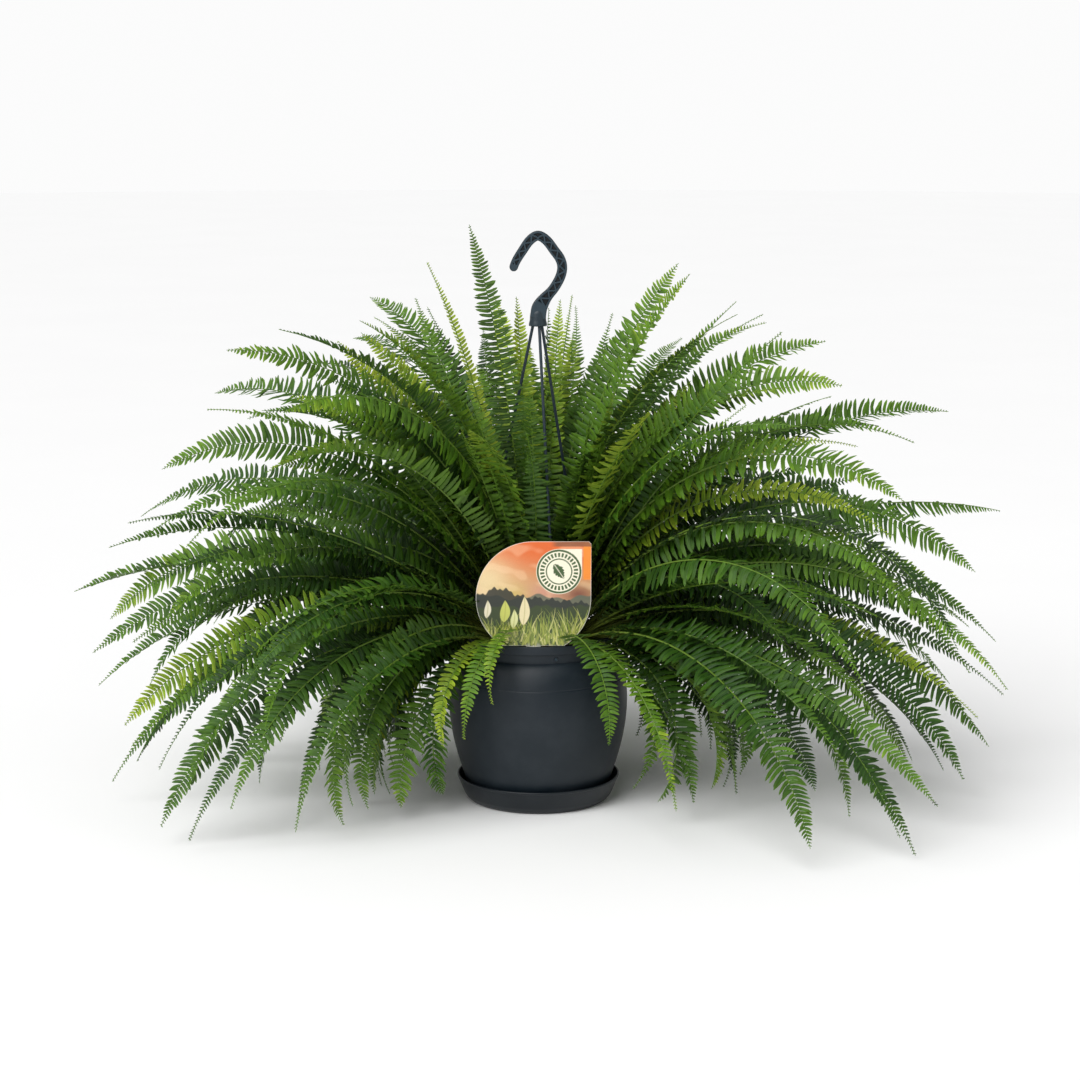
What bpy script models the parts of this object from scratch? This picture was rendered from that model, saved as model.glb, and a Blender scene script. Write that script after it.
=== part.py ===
"""A Boston fern in a round plastic hanging pot, with its clip-on saucer, three-armed hanger and plant label.

Units are metres and +Z is up. The origin is the highest point inside the hook's crook, where the pot hangs.
The pot's axis is the Z axis, and -Y is the side of the plant label.
Built from the top down: hook, arms, pot, saucer, soil, rootstock, label, fronds.
"""

import math

import bmesh
import bpy
import numpy as np
from mathutils import Matrix, Vector

# ---------------------------------------------------------------- driving dimensions
GAP = 0.0004  # between pieces that touch

HOOK_DROP = 0.0835  # from the crook's inner crest to the lower edge of the hook's skirt
HOOK_WIDTH = 0.0098  # the bar seen from the front
HOOK_DEPTH = 0.0070  # the bar seen from the side
HOOK_TIP_TAPER = 0.15  # share of the width lost at the free end
HOOK_FLANGE = 0.0016  # rib along each edge of the bar's faces
HOOK_POCKET_DEPTH = 0.0020
HOOK_POCKET_SHARE = 0.76  # of each triangle between the ribs
HOOK_STEPS = 2  # between two points of the route
# The middle of the bar, (x, z) from the free end round the crook to the skirt.
HOOK_ROUTE = (
    (-0.0252, -0.0296),
    (-0.0215, -0.0200),
    (-0.0150, -0.0095),
    (-0.0078, 0.0005),
    (0.0, 0.0049),
    (0.0082, 0.0005),
    (0.0160, -0.0095),
    (0.0216, -0.0175),
    (0.0238, -0.0258),
    (0.0218, -0.0355),
    (0.0155, -0.0467),
    (0.0068, -0.0570),
    (0.0015, -0.0660),
    (0.0, -0.0750),
)
SKIRT_RADIUS = 0.0090
SKIRT_HEIGHT = 0.0240
SKIRT_NECK = 0.0045  # radius at the skirt's top, inside the bar
SKIRT_SHOULDER = 0.0072  # radius a little below it
SKIRT_SHOULDER_SHARE = 0.72  # of the skirt's height
SKIRT_EDGE = 0.0010  # bevel round its lower edge
SOCKET_DEPTH = 0.0080  # each arm's hole in the skirt
SOCKET_CIRCLE = 0.0052

ARM_RADIUS = 0.0015
ARM_RISE = 0.3075  # skirt to the pot's rim
ARM_AZIMUTHS = (-76.0, 44.0, 164.0)
ARM_CLEARANCE = 0.0003  # round an arm in its hole or socket
ARM_BEND_RADIUS = 0.0016
ARM_BEND_RISE = 0.0060  # how far above the rim an arm turns straight down
ARM_REACH = 0.0020  # of the arm's end outside the pot's neck
ARM_BEND_STEP = 30.0  # degrees between two points of the arm's lower bend
SOCKET_OVERRUN = 0.0040  # of a socket's cutter below the skirt

POT_HEIGHT = 0.1680
POT_FOOT_RADIUS = 0.0670
POT_WIDEST_RADIUS = 0.0900
POT_WIDEST_HEIGHT = 0.1000
POT_FOOT_ROUND = 0.0030
POT_NECK_RADIUS = 0.0735
POT_NECK_HEIGHT = 0.0090
POT_LIP_HEIGHT = 0.0085
POT_LIP_STEP = 0.0018  # how far the lip stands out from the neck
POT_LIP_ROUND = 0.0006
POT_WALL = 0.0018
POT_SEGMENTS = 48
POT_SHOULDER_ANGLES = (90.0, 75.0, 60.0, 40.0, 20.0)  # stations on the shoulder's ellipse
POT_SIDE_SHARES = (1.0, 0.8, 0.6, 0.4, 0.2)  # stations below the widest ring
DRAIN_RADIUS = 0.0040
DRAIN_CIRCLE = 0.0420
DRAIN_COUNT = 6
HOLE_SIDES = 12
HOLE_CUTTER_LENGTH = 0.0120

SAUCER_FLOOR = 0.0022
SAUCER_FOOT_ROOM = 0.0040  # from the pot's foot out to the radius at which the saucer's side starts
SAUCER_RIM_ROOM = 0.0071  # from the pot's side out to the saucer's rim
SAUCER_HEIGHT = 0.0250
SAUCER_WALL = 0.0018
SAUCER_FOOT_ROUND = 0.0060
SAUCER_LIP = 0.0020
SAUCER_LIP_STEP = 0.0006
PLUG_RADIUS = 0.0060  # snap plug that holds the saucer in the pot's middle hole
PLUG_HEAD = 0.0012

SOIL_BELOW_ARMS = 0.0030  # from the lowest point of an arm to the soil
ROOTSTOCK_MARGIN = 0.0157  # bare soil between the rootstock and the pot's neck
ROOTSTOCK_HEIGHT = 0.0200
ROOTSTOCK_SIDES = 24
ROOTSTOCK_RINGS = 10
ROOTSTOCK_LUMPS = 0.35  # how far the dips between old stalks go, as a share of the height

LABEL_RADIUS = 0.0563
LABEL_CENTRE_X = -0.0044
LABEL_THICKNESS = 0.0006
LABEL_FOOT_SHARE = 0.8455  # from the round's centre to its flat foot on the rim, as a share of its radius
LABEL_CHORD_GAP = 0.0006  # under that foot
LABEL_CORNER_RADIUS = 0.0030
LABEL_SIDE_STEPS = 4  # from the foot up to the squared corner
LABEL_ROUND_STEPS = 15  # from the squared corner round to the foot
STAKE_WIDTH = 0.0140
STAKE_LENGTH = 0.0600
STAKE_POINT = 0.0120

FROND_BASE_LIFT = 0.0028  # from the rootstock to the middle of a stalk's end
FROND_BASE_INSET = 0.0060  # from the rootstock's edge in to the bases of fronds that leave level
# How a frond arches: 1 is evenly, and more keeps its lower half straight.
FROND_BEND_LEVEL = 0.8  # one that leaves level
FROND_BEND_UPRIGHT = 1.6  # one that leaves upright
STALK_RADIUS = 0.0013
STALK_TAPER = 0.7  # share of its thickness lost at the tip
BARE_STALK = 0.10  # share of the length before the first leaflets
BLADE_SWELL = 0.16  # share of the blade in which it reaches its full width
BLADE_SWELL_POWER = 0.6
BLADE_TAPER_START = 2.2  # power of the share: more holds the width further out
BLADE_TAPER_END = 0.9  # power of the taper: less makes a blunter tip
BLADE_ROLL_SHARE = 0.4  # share of the length in which a blade turns to its roll
BLADE_SAG = 0.10  # how far the blade's edges hang below its middle, as a share of the half-width
BLADE_STATIONS = 21
BLADE_NOTCH = 0.62  # half-width between two teeth, as a share of that at their tips

# ---------------------------------------------------------------- levels and radii that follow
SKIRT_Z = -HOOK_DROP
RIM_Z = SKIRT_Z - ARM_RISE
POT_BASE_Z = RIM_Z - POT_HEIGHT
SAUCER_BASE_Z = POT_BASE_Z - GAP - SAUCER_FLOOR
ARM_HOLE_Z = RIM_Z - POT_LIP_HEIGHT - POT_NECK_HEIGHT / 2
SOIL_Z = ARM_HOLE_Z - ARM_RADIUS - SOIL_BELOW_ARMS
LIP_RADIUS = POT_NECK_RADIUS + POT_LIP_STEP
POT_INNER_RADIUS = POT_NECK_RADIUS - POT_WALL
ARM_SEAT_RADIUS = POT_INNER_RADIUS - ARM_RADIUS - ARM_CLEARANCE
ARM_END_RADIUS = POT_NECK_RADIUS + ARM_REACH
ROOTSTOCK_RADIUS = POT_INNER_RADIUS - ROOTSTOCK_MARGIN
FROND_BASE_SPREAD = ROOTSTOCK_RADIUS - FROND_BASE_INSET
LABEL_CHORD_DROP = LABEL_RADIUS * LABEL_FOOT_SHARE
LABEL_CENTRE_Z = RIM_Z + LABEL_CHORD_GAP + LABEL_CHORD_DROP
STAKE_EDGE_X = STAKE_WIDTH / 2 - LABEL_CENTRE_X
LABEL_Y = -math.sqrt(POT_INNER_RADIUS**2 - STAKE_EDGE_X**2) + LABEL_THICKNESS
SHARP_ANGLE = math.radians(40)
MERGE_DISTANCE = 0.00001

# Each frond: its direction seen from above in degrees (0 is +X, 90 is +Y, -90 is the label's side), the angle
# at which it leaves the pot, the angle of its tip, its length, and its blade's half-width and roll.
FRONDS = (
    # upright fronds in the middle
    (205, 87, 72, 0.410, 0.016, 65),
    (190, 83, 65, 0.380, 0.008, 60),
    (12, 84, 50, 0.390, 0.020, 55),
    (-34, 81, 46, 0.400, 0.020, 50),
    (110, 84, 78, 0.330, 0.014, 10),
    (75, 80, 72, 0.330, 0.014, -10),
    (-116, 84, 20, 0.270, 0.022, -15),
    (-51, 74, 40, 0.280, 0.020, 15),
    # the crown's upper arches
    (134, 80, 12, 0.420, 0.022, -25),
    (122, 68, -10, 0.480, 0.024, -20),
    (196, 76, 0, 0.440, 0.024, -40),
    (15, 73, 5, 0.420, 0.024, 35),
    (64, 58, 10, 0.440, 0.024, 20),
    (-12, 78, -12, 0.420, 0.024, 50),
    (220, 80, -20, 0.430, 0.024, -25),
    (86, 66, -20, 0.420, 0.024, 0),
    (145, 60, -15, 0.480, 0.024, -35),
    (184, 66, -30, 0.430, 0.024, -45),
    (20, 52, -8, 0.490, 0.024, 40),
    (0, 67, -25, 0.440, 0.024, 35),
    (-28, 67, -36, 0.450, 0.024, 30),
    # the wide middle
    (200, 59, -36, 0.430, 0.024, -30),
    (156, 49, -36, 0.480, 0.024, -35),
    (212, 65, -45, 0.440, 0.024, -15),
    (14, 37, -14, 0.480, 0.022, 15),
    (36, 44, -42, 0.520, 0.024, 35),
    (-8, 54, -46, 0.460, 0.024, 40),
    (-31, 56, -52, 0.440, 0.024, 25),
    (106, 50, -40, 0.420, 0.024, -10),
    (76, 42, -50, 0.440, 0.024, 10),
    (178, 31, -22, 0.440, 0.022, -10),
    (196, 36, -38, 0.430, 0.022, -35),
    (140, 33, -52, 0.480, 0.024, -30),
    (-2, 40, -48, 0.460, 0.022, 30),
    (-18, 44, -56, 0.450, 0.024, 35),
    (-43, 50, -60, 0.430, 0.024, 15),
    # the low fronds that hang beside the pot
    (185, 20, -60, 0.440, 0.024, -40),
    (207, 21, -65, 0.420, 0.024, -35),
    (218, 27, -70, 0.380, 0.022, -20),
    (226, 23, -75, 0.350, 0.020, -20),
    (221, 46, -75, 0.360, 0.022, -10),
    (-5, 27, -58, 0.460, 0.024, 35),
    (-19, 29, -64, 0.450, 0.024, 45),
    (-32, 19, -65, 0.440, 0.022, 35),
    (-48, 26, -75, 0.400, 0.022, 20),
    (-61, 22, -78, 0.280, 0.012, 0),
    (-127, 26, -105, 0.170, 0.010, 0),
    (102, 25, -60, 0.420, 0.024, 0),
    (123, 26, -60, 0.440, 0.024, -15),
    (58, 24, -60, 0.440, 0.024, 15),
    (80, 20, -65, 0.400, 0.024, 0),
)


# ---------------------------------------------------------------- helpers
def clear_scene():
    for obj in list(bpy.data.objects):
        bpy.data.objects.remove(obj, do_unlink=True)


def make_collection(name):
    collection = bpy.data.collections.new(name)
    bpy.context.scene.collection.children.link(collection)
    return collection


def make_material(name, colour, roughness, metallic=0.0):
    material = bpy.data.materials.new(name)
    material.use_nodes = True
    shader = material.node_tree.nodes["Principled BSDF"]
    shader.inputs["Base Color"].default_value = (*colour, 1.0)
    shader.inputs["Roughness"].default_value = roughness
    shader.inputs["Metallic"].default_value = metallic
    material.diffuse_color = (*colour, 1.0)
    return material


def add_object(name, mesh, collection, material=None, place=(0.0, 0.0, 0.0)):
    obj = bpy.data.objects.new(name, mesh)
    collection.objects.link(obj)
    obj.location = place
    if material is not None:
        mesh.materials.append(material)
    return obj


def add_cutter(name, mesh, cutters):
    obj = add_object(name, mesh, cutters)
    obj.hide_render = True
    obj.display_type = "WIRE"
    return obj


def mesh_from_bmesh(name, shape):
    bmesh.ops.recalc_face_normals(shape, faces=shape.faces[:])
    mesh = bpy.data.meshes.new(name)
    shape.to_mesh(mesh)
    shape.free()
    return mesh


def cut(obj, cutter):
    boolean = obj.modifiers.new("cut " + cutter.name, "BOOLEAN")
    boolean.operation = "DIFFERENCE"
    boolean.object = cutter


def join(obj, other):
    boolean = obj.modifiers.new("join " + other.name, "BOOLEAN")
    boolean.operation = "UNION"
    boolean.object = other


def turned_mesh(name, profile, steps):
    """A (radius, height) profile turned about Z. It is closed into a loop unless its ends lie on the axis."""
    shape = bmesh.new()
    corners = [shape.verts.new((radius, 0.0, height)) for radius, height in profile]
    for first, second in zip(corners, corners[1:]):
        shape.edges.new((first, second))
    if profile[0][0] > 0.0:
        shape.edges.new((corners[-1], corners[0]))
    mesh = bpy.data.meshes.new(name)
    shape.to_mesh(mesh)
    shape.free()
    guide = bpy.data.objects.new(name + " profile", mesh)
    bpy.context.scene.collection.objects.link(guide)
    screw = guide.modifiers.new("turn", "SCREW")
    screw.steps = steps
    screw.render_steps = steps
    screw.use_merge_vertices = True
    screw.merge_threshold = MERGE_DISTANCE
    graph = bpy.context.evaluated_depsgraph_get()
    turned = bpy.data.meshes.new_from_object(guide.evaluated_get(graph))
    bpy.data.objects.remove(guide, do_unlink=True)
    turned.name = name
    turned.shade_smooth()
    turned.set_sharp_from_angle(angle=SHARP_ANGLE)
    return turned


def rod_mesh(name, points, radius, sides=8):
    """A round rod along a list of points, with flat ends."""
    curve = bpy.data.curves.new(name + " route", "CURVE")
    curve.dimensions = "3D"
    curve.bevel_depth = radius
    curve.bevel_resolution = (sides - 4) // 2
    curve.use_fill_caps = True
    spline = curve.splines.new("POLY")
    spline.points.add(len(points) - 1)
    for place, point in zip(spline.points, points):
        place.co = (*point, 1.0)
    guide = bpy.data.objects.new(name + " route", curve)
    bpy.context.scene.collection.objects.link(guide)
    graph = bpy.context.evaluated_depsgraph_get()
    mesh = bpy.data.meshes.new_from_object(guide.evaluated_get(graph))
    bpy.data.objects.remove(guide, do_unlink=True)
    shape = bmesh.new()
    shape.from_mesh(mesh)
    bmesh.ops.remove_doubles(shape, verts=shape.verts[:], dist=MERGE_DISTANCE)
    bpy.data.meshes.remove(mesh)
    return mesh_from_bmesh(name, shape)


def plate_mesh(name, outline, thickness):
    """A flat (x, z) outline as a plate that stands in the XZ plane, half its thickness to either side."""
    curve = bpy.data.curves.new(name + " outline", "CURVE")
    curve.dimensions = "2D"
    curve.fill_mode = "BOTH"
    curve.extrude = thickness / 2
    spline = curve.splines.new("POLY")
    spline.points.add(len(outline) - 1)
    for place, (x, z) in zip(spline.points, outline):
        place.co = (x, z, 0.0, 1.0)
    spline.use_cyclic_u = True
    guide = bpy.data.objects.new(name + " outline", curve)
    bpy.context.scene.collection.objects.link(guide)
    graph = bpy.context.evaluated_depsgraph_get()
    mesh = bpy.data.meshes.new_from_object(guide.evaluated_get(graph))
    bpy.data.objects.remove(guide, do_unlink=True)
    shape = bmesh.new()
    shape.from_mesh(mesh)
    bmesh.ops.remove_doubles(shape, verts=shape.verts[:], dist=MERGE_DISTANCE)
    bpy.data.meshes.remove(mesh)
    shape.transform(Matrix.Rotation(math.radians(90), 4, "X"))
    return mesh_from_bmesh(name, shape)


def turned_about_axis(azimuth):
    return Matrix.Rotation(math.radians(azimuth), 4, "Z")


# ---------------------------------------------------------------- hook
def smooth_route(points, steps):
    """A Catmull-Rom curve through the points, with this many steps between neighbours."""
    points = [Vector(point) for point in points]
    ends = [2 * points[0] - points[1], *points, 2 * points[-1] - points[-2]]
    route = []
    for before, first, second, after in zip(ends, ends[1:], ends[2:], ends[3:]):
        for step in range(steps):
            t = step / steps
            route.append(
                first
                + (second - before) * (t / 2)
                + (2 * before - 5 * first + 4 * second - after) * (t * t / 2)
                + (3 * first - before - 3 * second + after) * (t**3 / 2)
            )
    return [*route, points[-1]]


def hook_sides(margin):
    """The bar's two edges as (x, z) points from the tip to the skirt, each moved inwards by the margin."""
    route = smooth_route(HOOK_ROUTE, HOOK_STEPS)
    left = []
    right = []
    for index, point in enumerate(route):
        ahead = route[min(index + 1, len(route) - 1)]
        behind = route[max(index - 1, 0)]
        along = (ahead - behind).normalized()
        across = Vector((-along.y, along.x))
        share = index / (len(route) - 1)
        half = HOOK_WIDTH / 2 * (1 - HOOK_TIP_TAPER * (1 - share) ** 4) - margin
        left.append(point + across * half)
        right.append(point - across * half)
    return left, right


def build_hook(collection, cutters, material):
    left, right = hook_sides(0.0)
    bar = add_object("hook", plate_mesh("hook", [*left, *reversed(right)], HOOK_DEPTH), collection, material)
    skirt_profile = (
        (0.0, SKIRT_Z + SKIRT_HEIGHT + SKIRT_NECK / 2),
        (SKIRT_NECK, SKIRT_Z + SKIRT_HEIGHT),
        (SKIRT_SHOULDER, SKIRT_Z + SKIRT_HEIGHT * SKIRT_SHOULDER_SHARE),
        (SKIRT_RADIUS, SKIRT_Z + SKIRT_EDGE),
        (SKIRT_RADIUS - SKIRT_EDGE, SKIRT_Z),
        (0.0, SKIRT_Z),
    )
    skirt = add_cutter("hook skirt", turned_mesh("hook skirt", skirt_profile, POT_SEGMENTS // 2), cutters)
    join(bar, skirt)
    # The pockets leave a rib along each edge and a zigzag of ribs between them, on both faces.
    left, right = hook_sides(HOOK_FLANGE)
    shape = bmesh.new()
    steps_in_skirt = round(SKIRT_HEIGHT / HOOK_WIDTH) * HOOK_STEPS
    for start in range(len(left) - 1 - steps_in_skirt):
        outer, inner = (left, right) if start % 2 else (right, left)
        corners = [outer[start], outer[start + 1], outer[start + 2], inner[start + 1]]
        middle = (outer[start] + outer[start + 2] + inner[start + 1]) / 3
        for face in (-1, 1):
            floor = face * (HOOK_DEPTH / 2 - HOOK_POCKET_DEPTH)
            top = face * HOOK_DEPTH
            rings = []
            for depth in (floor, top):
                ring = []
                for corner in corners:
                    drawn_in = middle + (corner - middle) * HOOK_POCKET_SHARE
                    ring.append(shape.verts.new((drawn_in.x, depth, drawn_in.y)))
                rings.append(ring)
            shape.faces.new(rings[0])
            shape.faces.new(rings[1])
            for index in range(len(corners)):
                after = (index + 1) % len(corners)
                shape.faces.new((rings[0][index], rings[0][after], rings[1][after], rings[1][index]))
    cut(bar, add_cutter("hook pockets", mesh_from_bmesh("hook pockets", shape), cutters))
    for azimuth in ARM_AZIMUTHS:
        route = arm_route(azimuth, below=SOCKET_OVERRUN, above=SOCKET_DEPTH)
        socket = rod_mesh("arm socket", route, ARM_RADIUS + ARM_CLEARANCE)
        cut(bar, add_cutter(f"arm socket {azimuth:.0f}", socket, cutters))
    return bar


# ---------------------------------------------------------------- arms
def arm_direction():
    """Unit (outwards, upwards) vector along an arm's straight part, from the rim up to the skirt."""
    out = ARM_SEAT_RADIUS - SOCKET_CIRCLE
    down = ARM_RISE - ARM_BEND_RISE
    size = math.hypot(out, down)
    return -out / size, down / size


def arm_route(azimuth, below, above):
    """Two points on an arm's straight line, so far below and above the skirt's lower edge."""
    out, up = arm_direction()
    points = []
    for distance in (-below, above):
        point = Vector((SOCKET_CIRCLE + out * distance, 0.0, SKIRT_Z + up * distance))
        points.append(turned_about_axis(azimuth) @ point)
    return points


def build_arm(index, azimuth, collection, material):
    """A rod from the skirt down inside the pot's rim, its end bent out through a hole in the neck."""
    out, up = arm_direction()
    seat = SOCKET_DEPTH - ARM_CLEARANCE
    corner = ARM_BEND_RADIUS
    places = [(SOCKET_CIRCLE + out * seat, SKIRT_Z + up * seat)]
    places.append((ARM_SEAT_RADIUS + out * corner, RIM_Z + ARM_BEND_RISE + up * corner))
    places.append((ARM_SEAT_RADIUS, RIM_Z + ARM_BEND_RISE - corner))
    for step in range(round(90 / ARM_BEND_STEP) + 1):
        turn = math.radians(ARM_BEND_STEP * step)
        places.append(
            (
                ARM_SEAT_RADIUS + corner * (1 - math.cos(turn)),
                ARM_HOLE_Z + corner * (1 - math.sin(turn)),
            )
        )
    places.append((ARM_END_RADIUS, ARM_HOLE_Z))
    points = [turned_about_axis(azimuth) @ Vector((radius, 0.0, height)) for radius, height in places]
    mesh = rod_mesh(f"hanger_arm_{index}", points, ARM_RADIUS)
    mesh.shade_smooth()
    return add_object(f"hanger_arm_{index}", mesh, collection, material)


# ---------------------------------------------------------------- pot and saucer
def pot_radius(height):
    """The pot's outer radius: a sine bulge up to its widest ring and an ellipse from there in to the neck."""
    if height <= POT_WIDEST_HEIGHT:
        swell = math.sin(math.pi / 2 * height / POT_WIDEST_HEIGHT)
        return POT_FOOT_RADIUS + (POT_WIDEST_RADIUS - POT_FOOT_RADIUS) * swell
    shoulder = POT_HEIGHT - POT_LIP_HEIGHT - POT_NECK_HEIGHT
    share = min((height - POT_WIDEST_HEIGHT) / (shoulder - POT_WIDEST_HEIGHT), 1.0)
    return POT_NECK_RADIUS + (POT_WIDEST_RADIUS - POT_NECK_RADIUS) * math.sqrt(1 - share**2)


def pot_side():
    """(radius, height above the pot's base) from the shoulder down to the foot."""
    shoulder = POT_HEIGHT - POT_LIP_HEIGHT - POT_NECK_HEIGHT
    rise = shoulder - POT_WIDEST_HEIGHT
    upper = [POT_WIDEST_HEIGHT + rise * math.sin(math.radians(angle)) for angle in POT_SHOULDER_ANGLES]
    lower = [POT_WIDEST_HEIGHT * share for share in POT_SIDE_SHARES]
    heights = [*upper, *lower, POT_FOOT_ROUND]
    side = [(pot_radius(height), height) for height in heights]
    side.append((pot_radius(0.0) - POT_FOOT_ROUND, 0.0))
    return side


def offset_inwards(side, wall):
    """The same line moved inwards by the wall, square to itself."""
    moved = []
    for index, (radius, height) in enumerate(side):
        above = side[max(index - 1, 0)]
        below = side[min(index + 1, len(side) - 1)]
        along = Vector((above[0] - below[0], above[1] - below[1])).normalized()
        moved.append((radius - along.y * wall, height + along.x * wall))
    return moved


def add_rod(shape, place, radius):
    """A short round bar across a wall, its axis along the place's Z."""
    bmesh.ops.create_cone(
        shape,
        cap_ends=True,
        segments=HOLE_SIDES,
        radius1=radius,
        radius2=radius,
        depth=HOLE_CUTTER_LENGTH,
        matrix=place,
    )


def build_pot(collection, cutters, material):
    side = pot_side()
    inside = offset_inwards(side, POT_WALL)[1:-2]
    hole = PLUG_RADIUS + ARM_CLEARANCE
    profile = [
        (POT_INNER_RADIUS, POT_HEIGHT),
        (LIP_RADIUS - POT_LIP_ROUND, POT_HEIGHT),
        (LIP_RADIUS, POT_HEIGHT - POT_LIP_ROUND),
        (LIP_RADIUS, POT_HEIGHT - POT_LIP_HEIGHT),
        (POT_NECK_RADIUS, POT_HEIGHT - POT_LIP_HEIGHT),
        *side,
        (hole, 0.0),
        (hole, POT_WALL),
        (POT_FOOT_RADIUS - POT_FOOT_ROUND, POT_WALL),
        *reversed(inside),
        (POT_INNER_RADIUS, POT_HEIGHT - POT_LIP_HEIGHT - POT_NECK_HEIGHT - POT_WALL),
    ]
    mesh = turned_mesh("pot", profile, POT_SEGMENTS)
    pot = add_object("pot", mesh, collection, material, (0.0, 0.0, POT_BASE_Z))
    drains = bmesh.new()
    for index in range(DRAIN_COUNT):
        turn = turned_about_axis(360 / DRAIN_COUNT * index)
        add_rod(drains, turn @ Matrix.Translation((DRAIN_CIRCLE, 0.0, POT_BASE_Z)), DRAIN_RADIUS)
    cut(pot, add_cutter("drain holes", mesh_from_bmesh("drain holes", drains), cutters))
    sideways = Matrix.Rotation(math.radians(90), 4, "Y")
    arms = bmesh.new()
    for azimuth in ARM_AZIMUTHS:
        place = turned_about_axis(azimuth) @ Matrix.Translation((POT_NECK_RADIUS, 0.0, ARM_HOLE_Z))
        add_rod(arms, place @ sideways, ARM_RADIUS + ARM_CLEARANCE)
    cut(pot, add_cutter("arm holes", mesh_from_bmesh("arm holes", arms), cutters))
    return pot


def build_saucer(collection, material):
    """A dish with a lipped rim and, in its middle, the plug that snaps through the pot's bottom."""
    foot = POT_FOOT_RADIUS + SAUCER_FOOT_ROOM
    rim = pot_radius(SAUCER_HEIGHT - SAUCER_FLOOR - GAP) + SAUCER_RIM_ROOM
    slope = (rim - SAUCER_WALL - foot) / SAUCER_HEIGHT
    plug_top = SAUCER_FLOOR + GAP + POT_WALL + GAP + PLUG_HEAD
    profile = (
        (0.0, plug_top),
        (PLUG_RADIUS - PLUG_HEAD, plug_top),
        (PLUG_RADIUS + PLUG_HEAD, plug_top - PLUG_HEAD),
        (PLUG_RADIUS, plug_top - PLUG_HEAD),
        (PLUG_RADIUS, SAUCER_FLOOR),
        (foot - SAUCER_WALL, SAUCER_FLOOR),
        (foot + slope * SAUCER_FOOT_ROUND, SAUCER_FLOOR + SAUCER_FOOT_ROUND / 2),
        (rim - SAUCER_WALL, SAUCER_HEIGHT),
        (rim, SAUCER_HEIGHT),
        (rim, SAUCER_HEIGHT - SAUCER_LIP),
        (rim - SAUCER_LIP_STEP, SAUCER_HEIGHT - SAUCER_LIP),
        (foot + SAUCER_WALL + slope * SAUCER_FOOT_ROUND, SAUCER_FOOT_ROUND),
        (foot + SAUCER_WALL / 2, SAUCER_FOOT_ROUND / 3),
        (foot - SAUCER_WALL, 0.0),
        (0.0, 0.0),
    )
    mesh = turned_mesh("saucer", profile, POT_SEGMENTS)
    return add_object("saucer", mesh, collection, material, (0.0, 0.0, SAUCER_BASE_Z))


# ---------------------------------------------------------------- soil and rootstock
def build_soil(collection, cutters, material):
    """The pot's inner shape less a gap, up to the level that it is planted to."""
    soil_height = SOIL_Z - POT_BASE_Z
    inside = offset_inwards(pot_side(), POT_WALL + GAP)[1:-2]
    under = POT_WALL + GAP
    plug_room = under + PLUG_HEAD + 2 * GAP
    profile = [
        (0.0, soil_height),
        (POT_INNER_RADIUS - GAP, soil_height),
        (POT_INNER_RADIUS - GAP, POT_HEIGHT - POT_LIP_HEIGHT - POT_NECK_HEIGHT - POT_WALL - GAP),
        *inside,
        (POT_FOOT_RADIUS - POT_FOOT_ROUND - GAP, under),
        (PLUG_RADIUS + 2 * PLUG_HEAD, under),
        (PLUG_RADIUS + 2 * PLUG_HEAD, plug_room),
        (0.0, plug_room),
    ]
    mesh = turned_mesh("potting_soil", profile, POT_SEGMENTS)
    soil = add_object("potting_soil", mesh, collection, material, (0.0, 0.0, POT_BASE_Z))
    shape = bmesh.new()
    slot = STAKE_LENGTH - (RIM_Z + LABEL_CHORD_GAP - SOIL_Z) + GAP
    size = Matrix.Diagonal((STAKE_WIDTH + 2 * GAP, LABEL_THICKNESS + 2 * GAP, 2 * slot, 1.0))
    place = Matrix.Translation((LABEL_CENTRE_X, LABEL_Y, SOIL_Z))
    bmesh.ops.create_cube(shape, size=1.0, matrix=place @ size)
    cut(soil, add_cutter("stake slot", mesh_from_bmesh("stake slot", shape), cutters))
    return soil


def rootstock_height(radius):
    """How high the rootstock stands above the soil, as a flattened dome."""
    return ROOTSTOCK_HEIGHT * math.sqrt(max(1 - (radius / ROOTSTOCK_RADIUS) ** 2, 0.0))


def build_rootstock(collection, material):
    """A dome of old stalk bases. Crossed waves round and outwards lower it in places, and never raise it."""
    shape = bmesh.new()
    bmesh.ops.create_uvsphere(shape, u_segments=ROOTSTOCK_SIDES, v_segments=ROOTSTOCK_RINGS, radius=1.0)
    for corner in shape.verts:
        azimuth = math.atan2(corner.co.y, corner.co.x)
        reach = math.hypot(corner.co.x, corner.co.y)
        lumps = math.sin(5 * azimuth + 9 * reach) * math.cos(3 * azimuth - 7 * reach)
        drop = 1 - ROOTSTOCK_LUMPS * (1 - lumps) / 2
        corner.co.x *= ROOTSTOCK_RADIUS
        corner.co.y *= ROOTSTOCK_RADIUS
        corner.co.z = max(corner.co.z, 0.0) * ROOTSTOCK_HEIGHT * drop + GAP
    mesh = mesh_from_bmesh("rootstock", shape)
    return add_object("rootstock", mesh, collection, material, (0.0, 0.0, SOIL_Z))


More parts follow.
